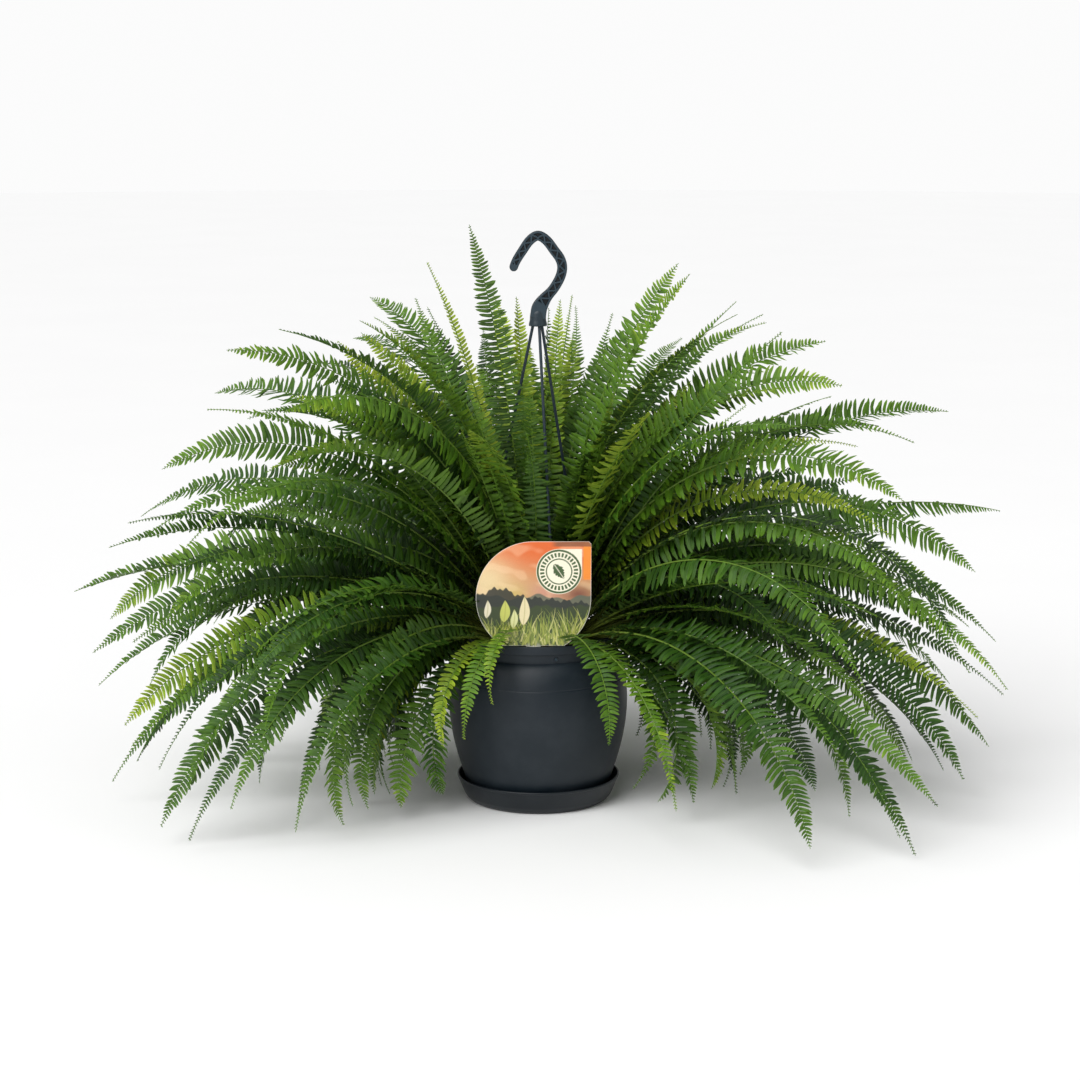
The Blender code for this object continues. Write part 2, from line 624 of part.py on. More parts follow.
# ---------------------------------------------------------------- plant label
def label_outline():
    """A round with its upper right quarter squared off, a flat foot and a pointed stake."""
    half_foot = math.sqrt(LABEL_RADIUS**2 - LABEL_CHORD_DROP**2)
    start = math.degrees(math.atan2(-LABEL_CHORD_DROP, half_foot))
    corner = LABEL_CORNER_RADIUS
    points = []
    for step in range(LABEL_SIDE_STEPS + 1):
        angle = math.radians(start * (1 - step / LABEL_SIDE_STEPS))
        points.append((LABEL_RADIUS * math.cos(angle), LABEL_RADIUS * math.sin(angle)))
    for step in range(3):
        angle = math.radians(45 * step)
        across = LABEL_RADIUS - corner * (1 - math.cos(angle))
        points.append((across, LABEL_RADIUS - corner * (1 - math.sin(angle))))
    for step in range(LABEL_ROUND_STEPS + 1):
        angle = math.radians(90 + (90 - start) * step / LABEL_ROUND_STEPS)
        points.append((LABEL_RADIUS * math.cos(angle), LABEL_RADIUS * math.sin(angle)))
    foot = -LABEL_CHORD_DROP
    half = STAKE_WIDTH / 2
    points.extend([(-half, foot), (-half, foot - STAKE_LENGTH + STAKE_POINT), (0.0, foot - STAKE_LENGTH)])
    points.extend([(half, foot - STAKE_LENGTH + STAKE_POINT), (half, foot)])
    return points


def build_label(collection, material):
    mesh = plate_mesh("plant_label", label_outline(), LABEL_THICKNESS)
    return add_object("plant_label", mesh, collection, material, (LABEL_CENTRE_X, LABEL_Y, LABEL_CENTRE_Z))


# ---------------------------------------------------------------- fronds
def frond_midrib(azimuth, rise, tip, length, count=BLADE_STATIONS):
    """Points along the frond's middle, and its direction at each: a curve in an upright plane, from the rise
    angle at the rootstock to the tip angle, which it turns to by a power of the share of its length."""
    share = np.linspace(0.0, 1.0, count)
    fine = np.linspace(0.0, 1.0, 8 * (count - 1) + 1)
    bend = FROND_BEND_LEVEL + (FROND_BEND_UPRIGHT - FROND_BEND_LEVEL) * rise / 90
    angle = np.radians(rise + (tip - rise) * fine**bend)
    middle = (angle[1:] + angle[:-1]) / 2
    step = length / (len(fine) - 1)
    out = np.concatenate([[0.0], np.cumsum(np.cos(middle) * step)])
    up = np.concatenate([[0.0], np.cumsum(np.sin(middle) * step)])
    lean = math.radians(rise)
    base = FROND_BASE_SPREAD * math.sqrt(math.cos(lean))
    out = base + np.interp(share, fine, out)
    up = SOIL_Z + rootstock_height(base) + FROND_BASE_LIFT + np.interp(share, fine, up)
    turn = math.radians(azimuth)
    points = np.stack([out * math.cos(turn), out * math.sin(turn), up], axis=1)
    angle = np.interp(share, fine, angle)
    along = np.stack([np.cos(angle) * math.cos(turn), np.cos(angle) * math.sin(turn), np.sin(angle)], axis=1)
    return points, along


def blade_half_width(share, widest):
    """Half-width along a frond: a bare stalk, a quick swell, then a long even taper to the tip."""
    blade = max((share - BARE_STALK) / (1 - BARE_STALK), 0.0)
    if blade == 0.0:
        return STALK_RADIUS
    swell = min((blade / BLADE_SWELL) ** BLADE_SWELL_POWER, 1.0)
    taper = (1 - min(blade, 1.0) ** BLADE_TAPER_START) ** BLADE_TAPER_END
    return max(widest * swell * taper, STALK_RADIUS / 2)


def frond_mesh(name, azimuth, rise, tip, length, widest, roll):
    """A lofted blade: at each station four corners, left and right edge, and a low ridge above and below."""
    points, along = frond_midrib(azimuth, rise, tip, length)
    turn = math.radians(azimuth)
    level = Vector((-math.sin(turn), math.cos(turn), 0.0))
    shape = bmesh.new()
    rings = []
    for index, (point, direction) in enumerate(zip(points, along)):
        share = index / (BLADE_STATIONS - 1)
        point = Vector(point)
        direction = Vector(direction)
        twist = Matrix.Rotation(math.radians(roll) * min(share / BLADE_ROLL_SHARE, 1.0), 3, direction)
        side = twist @ level
        above = direction.cross(side)
        half = blade_half_width(share, widest)
        if index % 2 and share > BARE_STALK:
            half *= BLADE_NOTCH
        ridge = STALK_RADIUS * (1 - STALK_TAPER * share)
        sag = BLADE_SAG * max(half - STALK_RADIUS, 0.0)
        rings.append(
            [
                shape.verts.new(point - side * half - above * sag),
                shape.verts.new(point + above * ridge),
                shape.verts.new(point + side * half - above * sag),
                shape.verts.new(point - above * ridge),
            ]
        )
    for first, second in zip(rings, rings[1:]):
        for corner in range(4):
            after = (corner + 1) % 4
            shape.faces.new((first[corner], first[after], second[after], second[corner]))
    shape.faces.new(rings[0])
    shape.faces.new(rings[-1])
    return mesh_from_bmesh(name, shape)


# ---------------------------------------------------------------- assembly
def main():
    clear_scene()
    parts = make_collection("potted_fern")
    cutters = make_collection("cutters")
    cutters.hide_render = True
    anthracite = make_material("anthracite plastic", (0.045, 0.053, 0.060), 0.45)
    charcoal = make_material("charcoal plastic", (0.040, 0.050, 0.065), 0.40)
    soil = make_material("moist soil", (0.035, 0.022, 0.014), 0.95)
    bark = make_material("brown rootstock", (0.090, 0.050, 0.022), 0.90)
    print_card = make_material("printed label", (0.800, 0.420, 0.200), 0.40)
    leaf = make_material("fern leaf", (0.050, 0.150, 0.025), 0.55)
    build_hook(parts, cutters, charcoal)
    for index, azimuth in enumerate(ARM_AZIMUTHS, start=1):
        build_arm(index, azimuth, parts, charcoal)
    build_pot(parts, cutters, anthracite)
    build_saucer(parts, anthracite)
    build_soil(parts, cutters, soil)
    build_rootstock(parts, bark)
    build_label(parts, print_card)
    for index, frond in enumerate(FRONDS, start=1):
        name = f"frond_{index:02d}"
        add_object(name, frond_mesh(name, *frond), parts, leaf)


if __name__ == "__main__":
    main()
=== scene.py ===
"""The visible surfaces of a Boston fern in its hanging pot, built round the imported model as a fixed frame.

Units are metres and +Z is up. The pot hangs on the Z axis below the origin, and -Y is the side of the
plant label. Each operator builds one piece or one group of like pieces; main() calls them from the pot up to
the stage.
"""

import math

import bpy
import numpy as np
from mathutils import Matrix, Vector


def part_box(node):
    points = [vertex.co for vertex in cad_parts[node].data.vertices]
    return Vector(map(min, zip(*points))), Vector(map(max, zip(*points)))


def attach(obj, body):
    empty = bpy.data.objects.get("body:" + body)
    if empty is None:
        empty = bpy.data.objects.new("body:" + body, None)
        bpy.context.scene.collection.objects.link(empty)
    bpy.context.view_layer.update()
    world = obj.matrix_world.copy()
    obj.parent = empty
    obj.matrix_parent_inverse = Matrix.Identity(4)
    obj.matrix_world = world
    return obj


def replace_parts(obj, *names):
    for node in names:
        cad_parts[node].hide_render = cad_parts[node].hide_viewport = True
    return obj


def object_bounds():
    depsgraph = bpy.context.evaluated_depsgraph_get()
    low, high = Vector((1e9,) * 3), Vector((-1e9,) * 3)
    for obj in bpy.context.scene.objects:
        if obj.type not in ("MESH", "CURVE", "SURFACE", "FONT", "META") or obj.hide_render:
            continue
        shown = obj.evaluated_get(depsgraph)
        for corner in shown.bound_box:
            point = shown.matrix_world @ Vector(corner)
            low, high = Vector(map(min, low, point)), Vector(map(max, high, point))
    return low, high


bl_info = {
    "name": "Hanging Boston fern",
    "version": (1, 0, 0),
    "blender": (4, 5, 0),
    "location": "3D View > Sidebar > Fern",
    "description": "Builds a potted fern with its pot, saucer, hanger and label round the packed frame",
    "category": "Add Mesh",
}

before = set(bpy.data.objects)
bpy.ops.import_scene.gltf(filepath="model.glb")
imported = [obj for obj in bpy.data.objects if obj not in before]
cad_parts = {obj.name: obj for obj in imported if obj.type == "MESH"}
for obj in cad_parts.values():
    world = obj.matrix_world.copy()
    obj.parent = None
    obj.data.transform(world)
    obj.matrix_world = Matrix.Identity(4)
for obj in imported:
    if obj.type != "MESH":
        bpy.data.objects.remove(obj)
CAD_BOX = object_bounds()

# ---------------------------------------------------------------- levels read from the frame
RIM_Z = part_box("pot")[1].z
POT_BASE_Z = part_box("pot")[0].z
SAUCER_BASE_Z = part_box("saucer")[0].z
SAUCER_RIM_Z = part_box("saucer")[1].z
SOIL_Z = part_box("potting_soil")[1].z
SKIRT_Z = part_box("hook")[0].z
LABEL_LOW, LABEL_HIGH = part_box("plant_label")

# ---------------------------------------------------------------- fixed shapes
# The hook's middle line as (x, z), from its free end over the crook and down to its skirt.
HOOK_ROUTE = (
    (-0.0252, -0.0296),
    (-0.0215, -0.0200),
    (-0.0150, -0.0095),
    (-0.0078, 0.0005),
    (0.0, 0.0049),
    (0.0082, 0.0005),
    (0.0160, -0.0095),
    (0.0216, -0.0175),
    (0.0238, -0.0258),
    (0.0218, -0.0355),
    (0.0155, -0.0467),
    (0.0068, -0.0570),
    (0.0015, -0.0660),
    (0.0, -0.0750),
)
HOOK_ROUNDING = 0.0009
SOCKET_CIRCLE = 0.0052
SOCKET_DEPTH = 0.0080
ROD_AZIMUTHS = (-76.0, 44.0, 164.0)
ROD_BEND = 0.0016
ROD_PLAY = 0.0003
# The drain holes' circle and radius, and how far a punch passes a wall's face on either side.
DRAIN_CIRCLE = 0.042
DRAIN_RADIUS = 0.004
PUNCH_REACH = 0.006
# A direction that no tube without its own side direction runs along.
OFF_AXIS = (0.13, 0.87, 0.21)
# The peat's gap to the pot's wall, how far its middle level lies under its highest crumbs, and its depth.
PEAT_GAP = 0.0005
PEAT_CRUMB = 0.0016
PEAT_DEPTH = 0.012
ROOTSTOCK_RADIUS = 0.0560
ROOTSTOCK_HEIGHT = 0.0200
STUBS = 90
FROND_BASE_LIFT = 0.0028
FROND_BASE_SPREAD = 0.0500
FROND_BEND_LEVEL = 0.8
FROND_BEND_UPRIGHT = 1.6
STALK_RADIUS = 0.0013
BARE_STALK = 0.10
BLADE_SWELL = 0.16
# How late a blade may taper: at 2.2 it narrows from its middle on, at 6 it is full almost to its tip.
BLADE_FILLS = (2.2, 3.0, 4.5, 6.0)
UPRIGHT_RISE = 72
# Places along a leaflet, and its half-width there as a share of its widest.
FINE_LEAFLET = (
    np.array([0.0, 0.07, 0.22, 0.45, 0.70, 0.90, 1.0]),
    np.array([0.25, 0.92, 1.0, 0.96, 0.82, 0.50, 0.06]),
)
PLAIN_LEAFLET = (np.array([0.0, 0.12, 0.45, 0.82, 1.0]), np.array([0.30, 1.0, 0.94, 0.62, 0.08]))
SHORTEST_LEAFLET = 0.0022
# How far a leaflet's edges lie under its middle vein, over its half-width.
LEAFLET_CUP = 0.22
# Millimetres between a leaflet's side veins.
VEIN_STEP = 1.1
# How far fronds stay inside the frame's box, and the level that only the frame's own fronds stand above.
BOX_MARGIN = 0.0001
CROWN_TOP = -0.045
GOLDEN_ANGLE = 137.508
# Inner fronds steeper than this many degrees start no nearer to a hanger rod than the clearance.
STEEP_RISE = 50
ROD_CLEARANCE = 12
FROND_GROUP = 10
FROND_SEED = 100
INNER_SEED = 500
LABEL_RADIUS = 0.0563
LABEL_CHORD_DROP = 0.0476
STAKE_HALF = 0.0070
STAKE_POINT = 0.0120
# The ring of bars round the label's badge: how many, and its radius in millimetres.
BARS = 30
BAR_CIRCLE = 16.5
GRASS_BLADES = 460
GRASS_TONES = ("#b2b552", "#8c9a36", "#cbc77e", "#66792a", "#9ea744", "#3c5218", "#77802e")
FLOOR_GAP = 0.0002
LIGHTS_AIM = (0.0, 0.0, -0.3)

# One frond to each of the frame's: direction seen from above, the angle at which it leaves the pot, the
# angle of its tip, its length, the half-width of its blade, the roll of its blade, and its age from 0, old
# and dark, to 1, new and yellow-green.
FRONDS = (
    # upright fronds in the middle
    (205, 87, 72, 0.410, 0.016, 65, 0.25),
    (190, 83, 65, 0.380, 0.008, 60, 0.90),
    (12, 84, 50, 0.390, 0.020, 55, 0.50),
    (-34, 81, 46, 0.400, 0.020, 50, 0.55),
    (110, 84, 78, 0.330, 0.014, 10, 0.75),
    (75, 80, 72, 0.330, 0.014, -10, 0.70),
    (-116, 84, 20, 0.270, 0.022, -15, 0.55),
    (-51, 74, 40, 0.280, 0.020, 15, 0.75),
    # the crown's upper arches
    (134, 80, 12, 0.420, 0.022, -25, 0.40),
    (122, 68, -10, 0.480, 0.024, -20, 0.35),
    (196, 76, 0, 0.440, 0.024, -40, 0.45),
    (15, 73, 5, 0.420, 0.024, 35, 0.45),
    (64, 58, 10, 0.440, 0.024, 20, 0.40),
    (-12, 78, -12, 0.420, 0.024, 50, 0.55),
    (220, 80, -20, 0.430, 0.024, -25, 0.50),
    (86, 66, -20, 0.420, 0.024, 0, 0.40),
    (145, 60, -15, 0.480, 0.024, -35, 0.35),
    (184, 66, -30, 0.430, 0.024, -45, 0.40),
    (20, 52, -8, 0.490, 0.024, 40, 0.40),
    (0, 67, -25, 0.440, 0.024, 35, 0.45),
    (-28, 67, -36, 0.450, 0.024, 30, 0.50),
    # the wide middle
    (200, 59, -36, 0.430, 0.024, -30, 0.40),
    (156, 49, -36, 0.480, 0.024, -35, 0.30),
    (212, 65, -45, 0.440, 0.024, -15, 0.45),
    (14, 37, -14, 0.480, 0.022, 15, 0.35),
    (36, 44, -42, 0.520, 0.024, 35, 0.30),
    (-8, 54, -46, 0.460, 0.024, 40, 0.40),
    (-31, 56, -52, 0.440, 0.024, 25, 0.45),
    (106, 50, -40, 0.420, 0.024, -10, 0.30),
    (76, 42, -50, 0.440, 0.024, 10, 0.30),
    (178, 31, -22, 0.440, 0.022, -10, 0.35),
    (196, 36, -38, 0.430, 0.022, -35, 0.30),
    (140, 33, -52, 0.480, 0.024, -30, 0.25),
    (-2, 40, -48, 0.460, 0.022, 30, 0.30),
    (-18, 44, -56, 0.450, 0.024, 35, 0.30),
    (-43, 50, -60, 0.430, 0.024, 15, 0.40),
    # the low fronds that hang beside the pot
    (185, 20, -60, 0.440, 0.024, -40, 0.30),
    (207, 21, -65, 0.420, 0.024, -35, 0.25),
    (218, 27, -70, 0.380, 0.022, -20, 0.35),
    (226, 23, -75, 0.350, 0.020, -20, 0.35),
    (221, 46, -75, 0.360, 0.022, -10, 0.40),
    (-5, 27, -58, 0.460, 0.024, 35, 0.25),
    (-19, 29, -64, 0.450, 0.024, 45, 0.15),
    (-32, 19, -65, 0.440, 0.022, 35, 0.20),
    (-48, 26, -75, 0.400, 0.022, 20, 0.30),
    (-61, 22, -78, 0.280, 0.012, 0, 0.60),
    (-127, 26, -105, 0.170, 0.010, 0, 0.80),
    (102, 25, -60, 0.420, 0.024, 0, 0.25),
    (123, 26, -60, 0.440, 0.024, -15, 0.25),
    (58, 24, -60, 0.440, 0.024, 15, 0.25),
    (80, 20, -65, 0.400, 0.024, 0, 0.25),
)
# Three short young fronds that hang over the rim in front of the pot, laid out as the table above.
DRAPED_FRONDS = (
    (243.0, 30.0, -104.0, 0.165, 0.0120, -10.0, 0.60),
    (251.0, 44.0, -112.0, 0.140, 0.0100, 12.0, 0.70),
    (293.0, 34.0, -100.0, 0.190, 0.0130, 8.0, 0.45),
)


# ---------------------------------------------------------------- colours and nodes
def linear(code):
    """The linear colour of an sRGB hex code such as '#2b3036'."""
    parts = np.array([int(code[place : place + 2], 16) for place in (1, 3, 5)]) / 255
    return tuple(np.where(parts <= 0.04045, parts / 12.92, ((parts + 0.055) / 1.055) ** 2.4).tolist())


def rgba(colour):
    """A linear colour with full alpha, as node inputs take it."""
    return (*colour, 1.0)


def feed(tree, node, inputs):
    """Gives each named input of a node a value, or links the socket that feeds it."""
    for name, value in inputs.items():
        if isinstance(value, bpy.types.NodeSocket):
            tree.links.new(value, node.inputs[name])
        else:
            node.inputs[name].default_value = value


def add_node(tree, kind, output=None, inputs=None, **settings):
    """Adds a shader node with its settings and inputs, and returns the output of that name, or the node
    itself."""
    added = tree.nodes.new("ShaderNode" + kind)
    for name, value in settings.items():
        setattr(added, name, value)
    feed(tree, added, inputs or {})
    return added.outputs[output] if output else added


def new_material(name):
    """(material, its node tree, its Principled shader) with nothing else in the tree but the output."""
    material = bpy.data.materials.new(name)
    material.use_nodes = True
    tree = material.node_tree
    return material, tree, tree.nodes["Principled BSDF"]


def moulded_plastic(name, colour, roughness, grain, grain_height, bloom, lit_rib_colour=None):
    """Injection-moulded polypropylene: a dark body colour under a fine spark-eroded grain that breaks up the
    highlight, with a faint dusty bloom in broad patches. Given a lit rib colour, the rib light attribute
    blends from the body colour, painted shade in the pockets, to that colour, a painted highlight on the
    ribs' faces."""
    material, tree, shader = new_material(name)
    place = add_node(tree, "TexCoord", "Object")
    broad = {"Vector": place, "Scale": 22.0, "Detail": 5.0, "Roughness": 0.6}
    patches = add_node(tree, "TexNoise", "Fac", broad)
    spark = {"Vector": place, "Scale": 1 / grain, "Detail": 2.0, "Roughness": 0.5}
    fine = add_node(tree, "TexNoise", "Fac", spark)
    thin = {"Value": patches, "From Min": 0.42, "From Max": 0.72, "To Min": 0.0, "To Max": bloom}
    dusty = add_node(tree, "MapRange", "Result", thin)
    over = {"Factor": dusty, "A": rgba(colour), "B": rgba(linear("#7d858b"))}
    tint = add_node(tree, "Mix", "Result", over, data_type="RGBA")
    uneven = {"Value": patches, "From Min": 0.3, "From Max": 0.7}
    uneven.update({"To Min": roughness - 0.05, "To Max": roughness + 0.07})
    polish = add_node(tree, "MapRange", "Result", uneven)
    relief = add_node(tree, "Bump", "Normal", {"Height": fine, "Strength": 0.35, "Distance": grain_height})
    if lit_rib_colour is not None:
        # Painted light: the attribute mixes the body colour as painted shade towards the lit rib colour as
        # painted highlight.
        rib_light_share = add_node(tree, "Attribute", "Fac", attribute_name="rib_light_share")
        over = {"Factor": rib_light_share, "A": tint, "B": rgba(lit_rib_colour)}
        tint = add_node(tree, "Mix", "Result", over, data_type="RGBA")
    feed(tree, shader, {"Base Color": tint, "Roughness": polish, "Normal": relief})
    feed(tree, shader, {"IOR": 1.49, "Specular IOR Level": 0.38})
    return material


# ---------------------------------------------------------------- meshes from arrays
def outward(points, faces):
    """The faces turned round if the volume they enclose comes out negative, so that they point outwards."""
    volume = 0.0
    for group in faces:
        first = points[group[:, 0]]
        for corner in range(1, group.shape[1] - 1):
            second = points[group[:, corner]]
            third = points[group[:, corner + 1]]
            volume += np.einsum("ij,ij->", first, np.cross(second, third))
    return [group[:, ::-1] for group in faces] if volume < 0 else faces


def add_piece(name, points, faces, material, sharp=40.0, attributes=()):
    """A mesh object from a point array and a list of face arrays, riding on the root body.
    Each attribute is (name, kind, values), one row of values to a point."""
    faces = outward(points, faces)
    corners = np.concatenate([group.ravel() for group in faces]).astype(np.int32)
    counts = np.concatenate([np.full(len(group), group.shape[1]) for group in faces]).astype(np.int32)
    starts = np.concatenate([[0], np.cumsum(counts)[:-1]]).astype(np.int32)
    mesh = bpy.data.meshes.new(name)
    mesh.vertices.add(len(points))
    mesh.vertices.foreach_set("co", points.astype(np.float32).ravel())
    mesh.loops.add(len(corners))
    mesh.loops.foreach_set("vertex_index", corners)
    mesh.polygons.add(len(counts))
    mesh.polygons.foreach_set("loop_start", starts)
    mesh.polygons.foreach_set("loop_total", counts)
    mesh.update(calc_edges=True)
    for title, kind, values in attributes:
        field = "color" if kind == "FLOAT_COLOR" else "vector"
        attribute = mesh.attributes.new(title, kind, "POINT")
        attribute.data.foreach_set(field, values.astype(np.float32).ravel())
    mesh.shade_smooth()
    mesh.set_sharp_from_angle(angle=math.radians(sharp))
    mesh.materials.append(material)
    piece = bpy.data.objects.new(name, mesh)
    bpy.context.scene.collection.objects.link(piece)
    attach(piece, "root")
    return piece


def grid_quads(rows, columns, wrap_rows=False):
    """Quads between neighbouring rows and columns of a grid of points; columns always close on themselves."""
    row = np.arange(rows if wrap_rows else rows - 1)[:, None]
    column = np.arange(columns)[None, :]
    beside = (column + 1) % columns
    here = row * columns
    below = (row + 1) % rows * columns
    return np.stack([here + column, here + beside, below + beside, below + column], axis=-1).reshape(-1, 4)


def round_corners(corners, cut, steps=5):
    """A line of (radius, height) corners with each corner replaced by a short parabola that starts and ends
    up to cut away from it, or at 45% of the shorter side."""
    corners = np.asarray(corners, float)
    before = np.diff(corners, axis=0)
    size = np.linalg.norm(before, axis=1)
    reach = np.minimum(cut, 0.45 * np.minimum(size[:-1], size[1:]))[:, None]
    start = corners[1:-1] - before[:-1] / size[:-1, None] * reach
    end = corners[1:-1] + before[1:] / size[1:, None] * reach
    t = np.linspace(0.0, 1.0, steps)[None, :, None]
    bends = start[:, None] * (1 - t) ** 2 + 2 * corners[1:-1, None] * t * (1 - t) + end[:, None] * t**2
    return np.concatenate([corners[:1], bends.reshape(-1, 2), corners[-1:]])


def fan_closed(rows, poles):
    """Rows of points that close on themselves, with a fan of triangles from the first row to the first pole
    and one from the last row to the last pole."""
    count, around = rows.shape[:2]
    first_pole = count * around
    last = first_pole - around
    column = np.arange(around)
    beside = (column + 1) % around
    start = np.stack([np.full(around, first_pole), beside, column], axis=1)
    end = np.stack([np.full(around, first_pole + 1), last + column, last + beside], axis=1)
    return np.concatenate([rows.reshape(-1, 3), poles]), [grid_quads(count, around), start, end]


def flat_closed(rows):
    """Rows of points that close on themselves, with the first row and the last row each one flat face."""
    count, around = rows.shape[:2]
    ends = [np.arange(around)[None, ::-1], ((count - 1) * around + np.arange(around))[None]]
    return rows.reshape(-1, 3), [grid_quads(count, around), *ends]


def turned_surface(profile, around, base_z, closed_loop):
    """A (radius, height) profile turned about Z: x = r cos(a), y = r sin(a). A closed loop makes a
    ring-like wall; otherwise both ends lie on the axis and each is closed by a fan of triangles."""
    angle = np.linspace(0.0, 2 * math.pi, around, endpoint=False)
    inner = profile if closed_loop else profile[1:-1]
    radius, height = inner[:, 0, None], inner[:, 1, None]
    level = np.broadcast_to(height + base_z, (len(inner), around))
    rows = np.stack([radius * np.cos(angle), radius * np.sin(angle), level], axis=-1)
    if closed_loop:
        return rows.reshape(-1, 3), [grid_quads(len(inner), around, wrap_rows=True)]
    return fan_closed(rows, [[0.0, 0.0, profile[0, 1] + base_z], [0.0, 0.0, profile[-1, 1] + base_z]])


def disc_grid(outer, rings, around):
    """The x and y of a disc's rings of points, r cos(a) and r sin(a), from the first ring to the outer
    edge."""
    radius = outer * np.linspace(0.0, 1.0, rings + 1)[1:, None]
    angle = np.linspace(0.0, 2 * math.pi, around, endpoint=False)[None, :]
    return radius, radius * np.cos(angle), radius * np.sin(angle)


def disc_surface(x, y, top, middle_z, base_z):
    """A disc whose upper side has a height at each grid point and in its middle, on a flat underside."""
    upper = np.stack([x, y, top], axis=-1)
    lower = np.stack([x[-1], y[-1], np.full(x.shape[1], base_z)], axis=-1)[None]
    return fan_closed(np.concatenate([upper, lower]), [[0.0, 0.0, middle_z], [0.0, 0.0, base_z]])


def tube_surface(route, radius, sides, across=None):
    """A round tube along a route: each station is a circle in the plane square to the route, and each end
    is one flat face. The radius is one number or one to a station."""
    along = np.gradient(route, axis=0)
    along /= np.linalg.norm(along, axis=1)[:, None]
    if across is None:
        across = np.cross(along, OFF_AXIS)
        across /= np.linalg.norm(across, axis=1)[:, None]
    over = np.cross(along, across)
    angle = np.linspace(0.0, 2 * math.pi, sides, endpoint=False)[None, :, None]
    radius = np.broadcast_to(radius, len(route))[:, None, None]
    circle = np.cos(angle) * across[:, None] + np.sin(angle) * over[:, None]
    return flat_closed(route[:, None] + radius * circle)


def joined(parts):
    """Several (points, faces) as one, with the faces of equal corner counts put together."""
    points = np.concatenate([part[0] for part in parts])
    starts = np.cumsum([0] + [len(part[0]) for part in parts])
    groups = {}
    for (_, faces), start in zip(parts, starts):
        for group in faces:
            groups.setdefault(group.shape[1], []).append(group + start)
    return points, [np.concatenate(group) for group in groups.values()]


def waves(x, y, z, seed, count=9, size=0.02):
    """Smooth noise from -1 to 1: the mean of sine waves with seeded directions and lengths near size."""
    rng = np.random.default_rng(seed)
    total = 0.0
    for _ in range(count):
        direction = rng.normal(size=3)
        direction *= 2 * math.pi / (size * rng.uniform(0.6, 1.8)) / np.linalg.norm(direction)
        total = total + np.sin(direction[0] * x + direction[1] * y + direction[2] * z + rng.uniform(0, 6.3))
    return total / math.sqrt(count)


# ---------------------------------------------------------------- pot, saucer, soil, rootstock
def pot_radius(height, sizes):
    """The pot's outer radius: a sine bulge up to its widest ring and an ellipse from there in to the neck."""
    shoulder = sizes.pot_height - sizes.lip_height - sizes.neck_height
    swell = np.sin(math.pi / 2 * np.clip(height / sizes.widest_height, 0, 1))
    lower = sizes.foot_radius + (sizes.widest_radius - sizes.foot_radius) * swell
    share = np.clip((height - sizes.widest_height) / (shoulder - sizes.widest_height), 0, 1)
    upper = sizes.neck_radius + (sizes.widest_radius - sizes.neck_radius) * np.sqrt(1 - share**2)
    return np.where(height <= sizes.widest_height, lower, upper)


def pot_profile(sizes):
    """The closed (radius, height) line of the pot's wall: lip, neck, bulged side with a shallow mould seam,
    foot and floor outside, then back up inside at the wall's thickness."""
    shoulder = sizes.pot_height - sizes.lip_height - sizes.neck_height
    rise = shoulder - sizes.widest_height
    upper = sizes.widest_height + rise * np.sin(np.radians(np.linspace(90, 0, 40)))
    lower = np.linspace(sizes.widest_height, sizes.foot_round, 36)[1:]
    height = np.concatenate([upper, lower])
    seam = sizes.seam_height + np.linspace(-0.0016, 0.0016, 9)
    height = np.sort(np.concatenate([height, seam]))[::-1]
    radius = pot_radius(height, sizes)
    radius = radius - sizes.seam_depth * np.exp(-(((height - sizes.seam_height) / 0.0006) ** 2))
    side = np.stack([radius, height], axis=1)
    slope = np.gradient(side, axis=0)
    slope /= np.linalg.norm(slope, axis=1)[:, None]
    inside = side + np.stack([slope[:, 1], -slope[:, 0]], axis=1) * sizes.wall
    inner = sizes.neck_radius - sizes.wall
    keep = (inside[:, 1] > sizes.wall) & (inside[:, 1] < shoulder - sizes.wall)
    lip = sizes.neck_radius + sizes.lip_step
    outside = [
        (inner, sizes.pot_height - 0.002),
        (inner, sizes.pot_height),
        (lip, sizes.pot_height),
        (lip, sizes.pot_height - sizes.lip_height),
        (sizes.neck_radius, sizes.pot_height - sizes.lip_height),
        (sizes.neck_radius, shoulder + 0.0004),
    ]
    foot = sizes.foot_radius - sizes.foot_round
    under = [
        (float(side[-1, 0]), sizes.foot_round),
        (foot + sizes.foot_round * 0.7, sizes.foot_round * 0.3),
        (foot, 0.0),
        (0.0063, 0.0),
        (0.0063, sizes.wall),
        (foot, sizes.wall),
    ]
    return np.concatenate(
        [
            round_corners(outside, 0.0007),
            side[:-1],
            round_corners(under, 0.0004, 3),
            inside[keep][::-1],
            [(inner, shoulder - sizes.wall)],
        ]
    )


def punch(piece, cutters):
    """Cuts each (points, faces) body out of the piece and keeps the result as the piece's mesh."""
    helper_mesh = bpy.data.meshes.new("punches")
    points, faces = joined([(body[0], outward(*body)) for body in cutters])
    helper_mesh.from_pydata(points.tolist(), [], [face for group in faces for face in group.tolist()])
    helper = bpy.data.objects.new("punches", helper_mesh)
    bpy.context.scene.collection.objects.link(helper)
    boolean = piece.modifiers.new("punch", "BOOLEAN")
    boolean.operation = "DIFFERENCE"
    boolean.object = helper
    graph = bpy.context.evaluated_depsgraph_get()
    whole = bpy.data.meshes.new_from_object(piece.evaluated_get(graph))
    piece.modifiers.clear()
    piece.data = whole
    whole.name = piece.name
    bpy.data.objects.remove(helper, do_unlink=True)
    whole.set_sharp_from_angle(angle=math.radians(40))


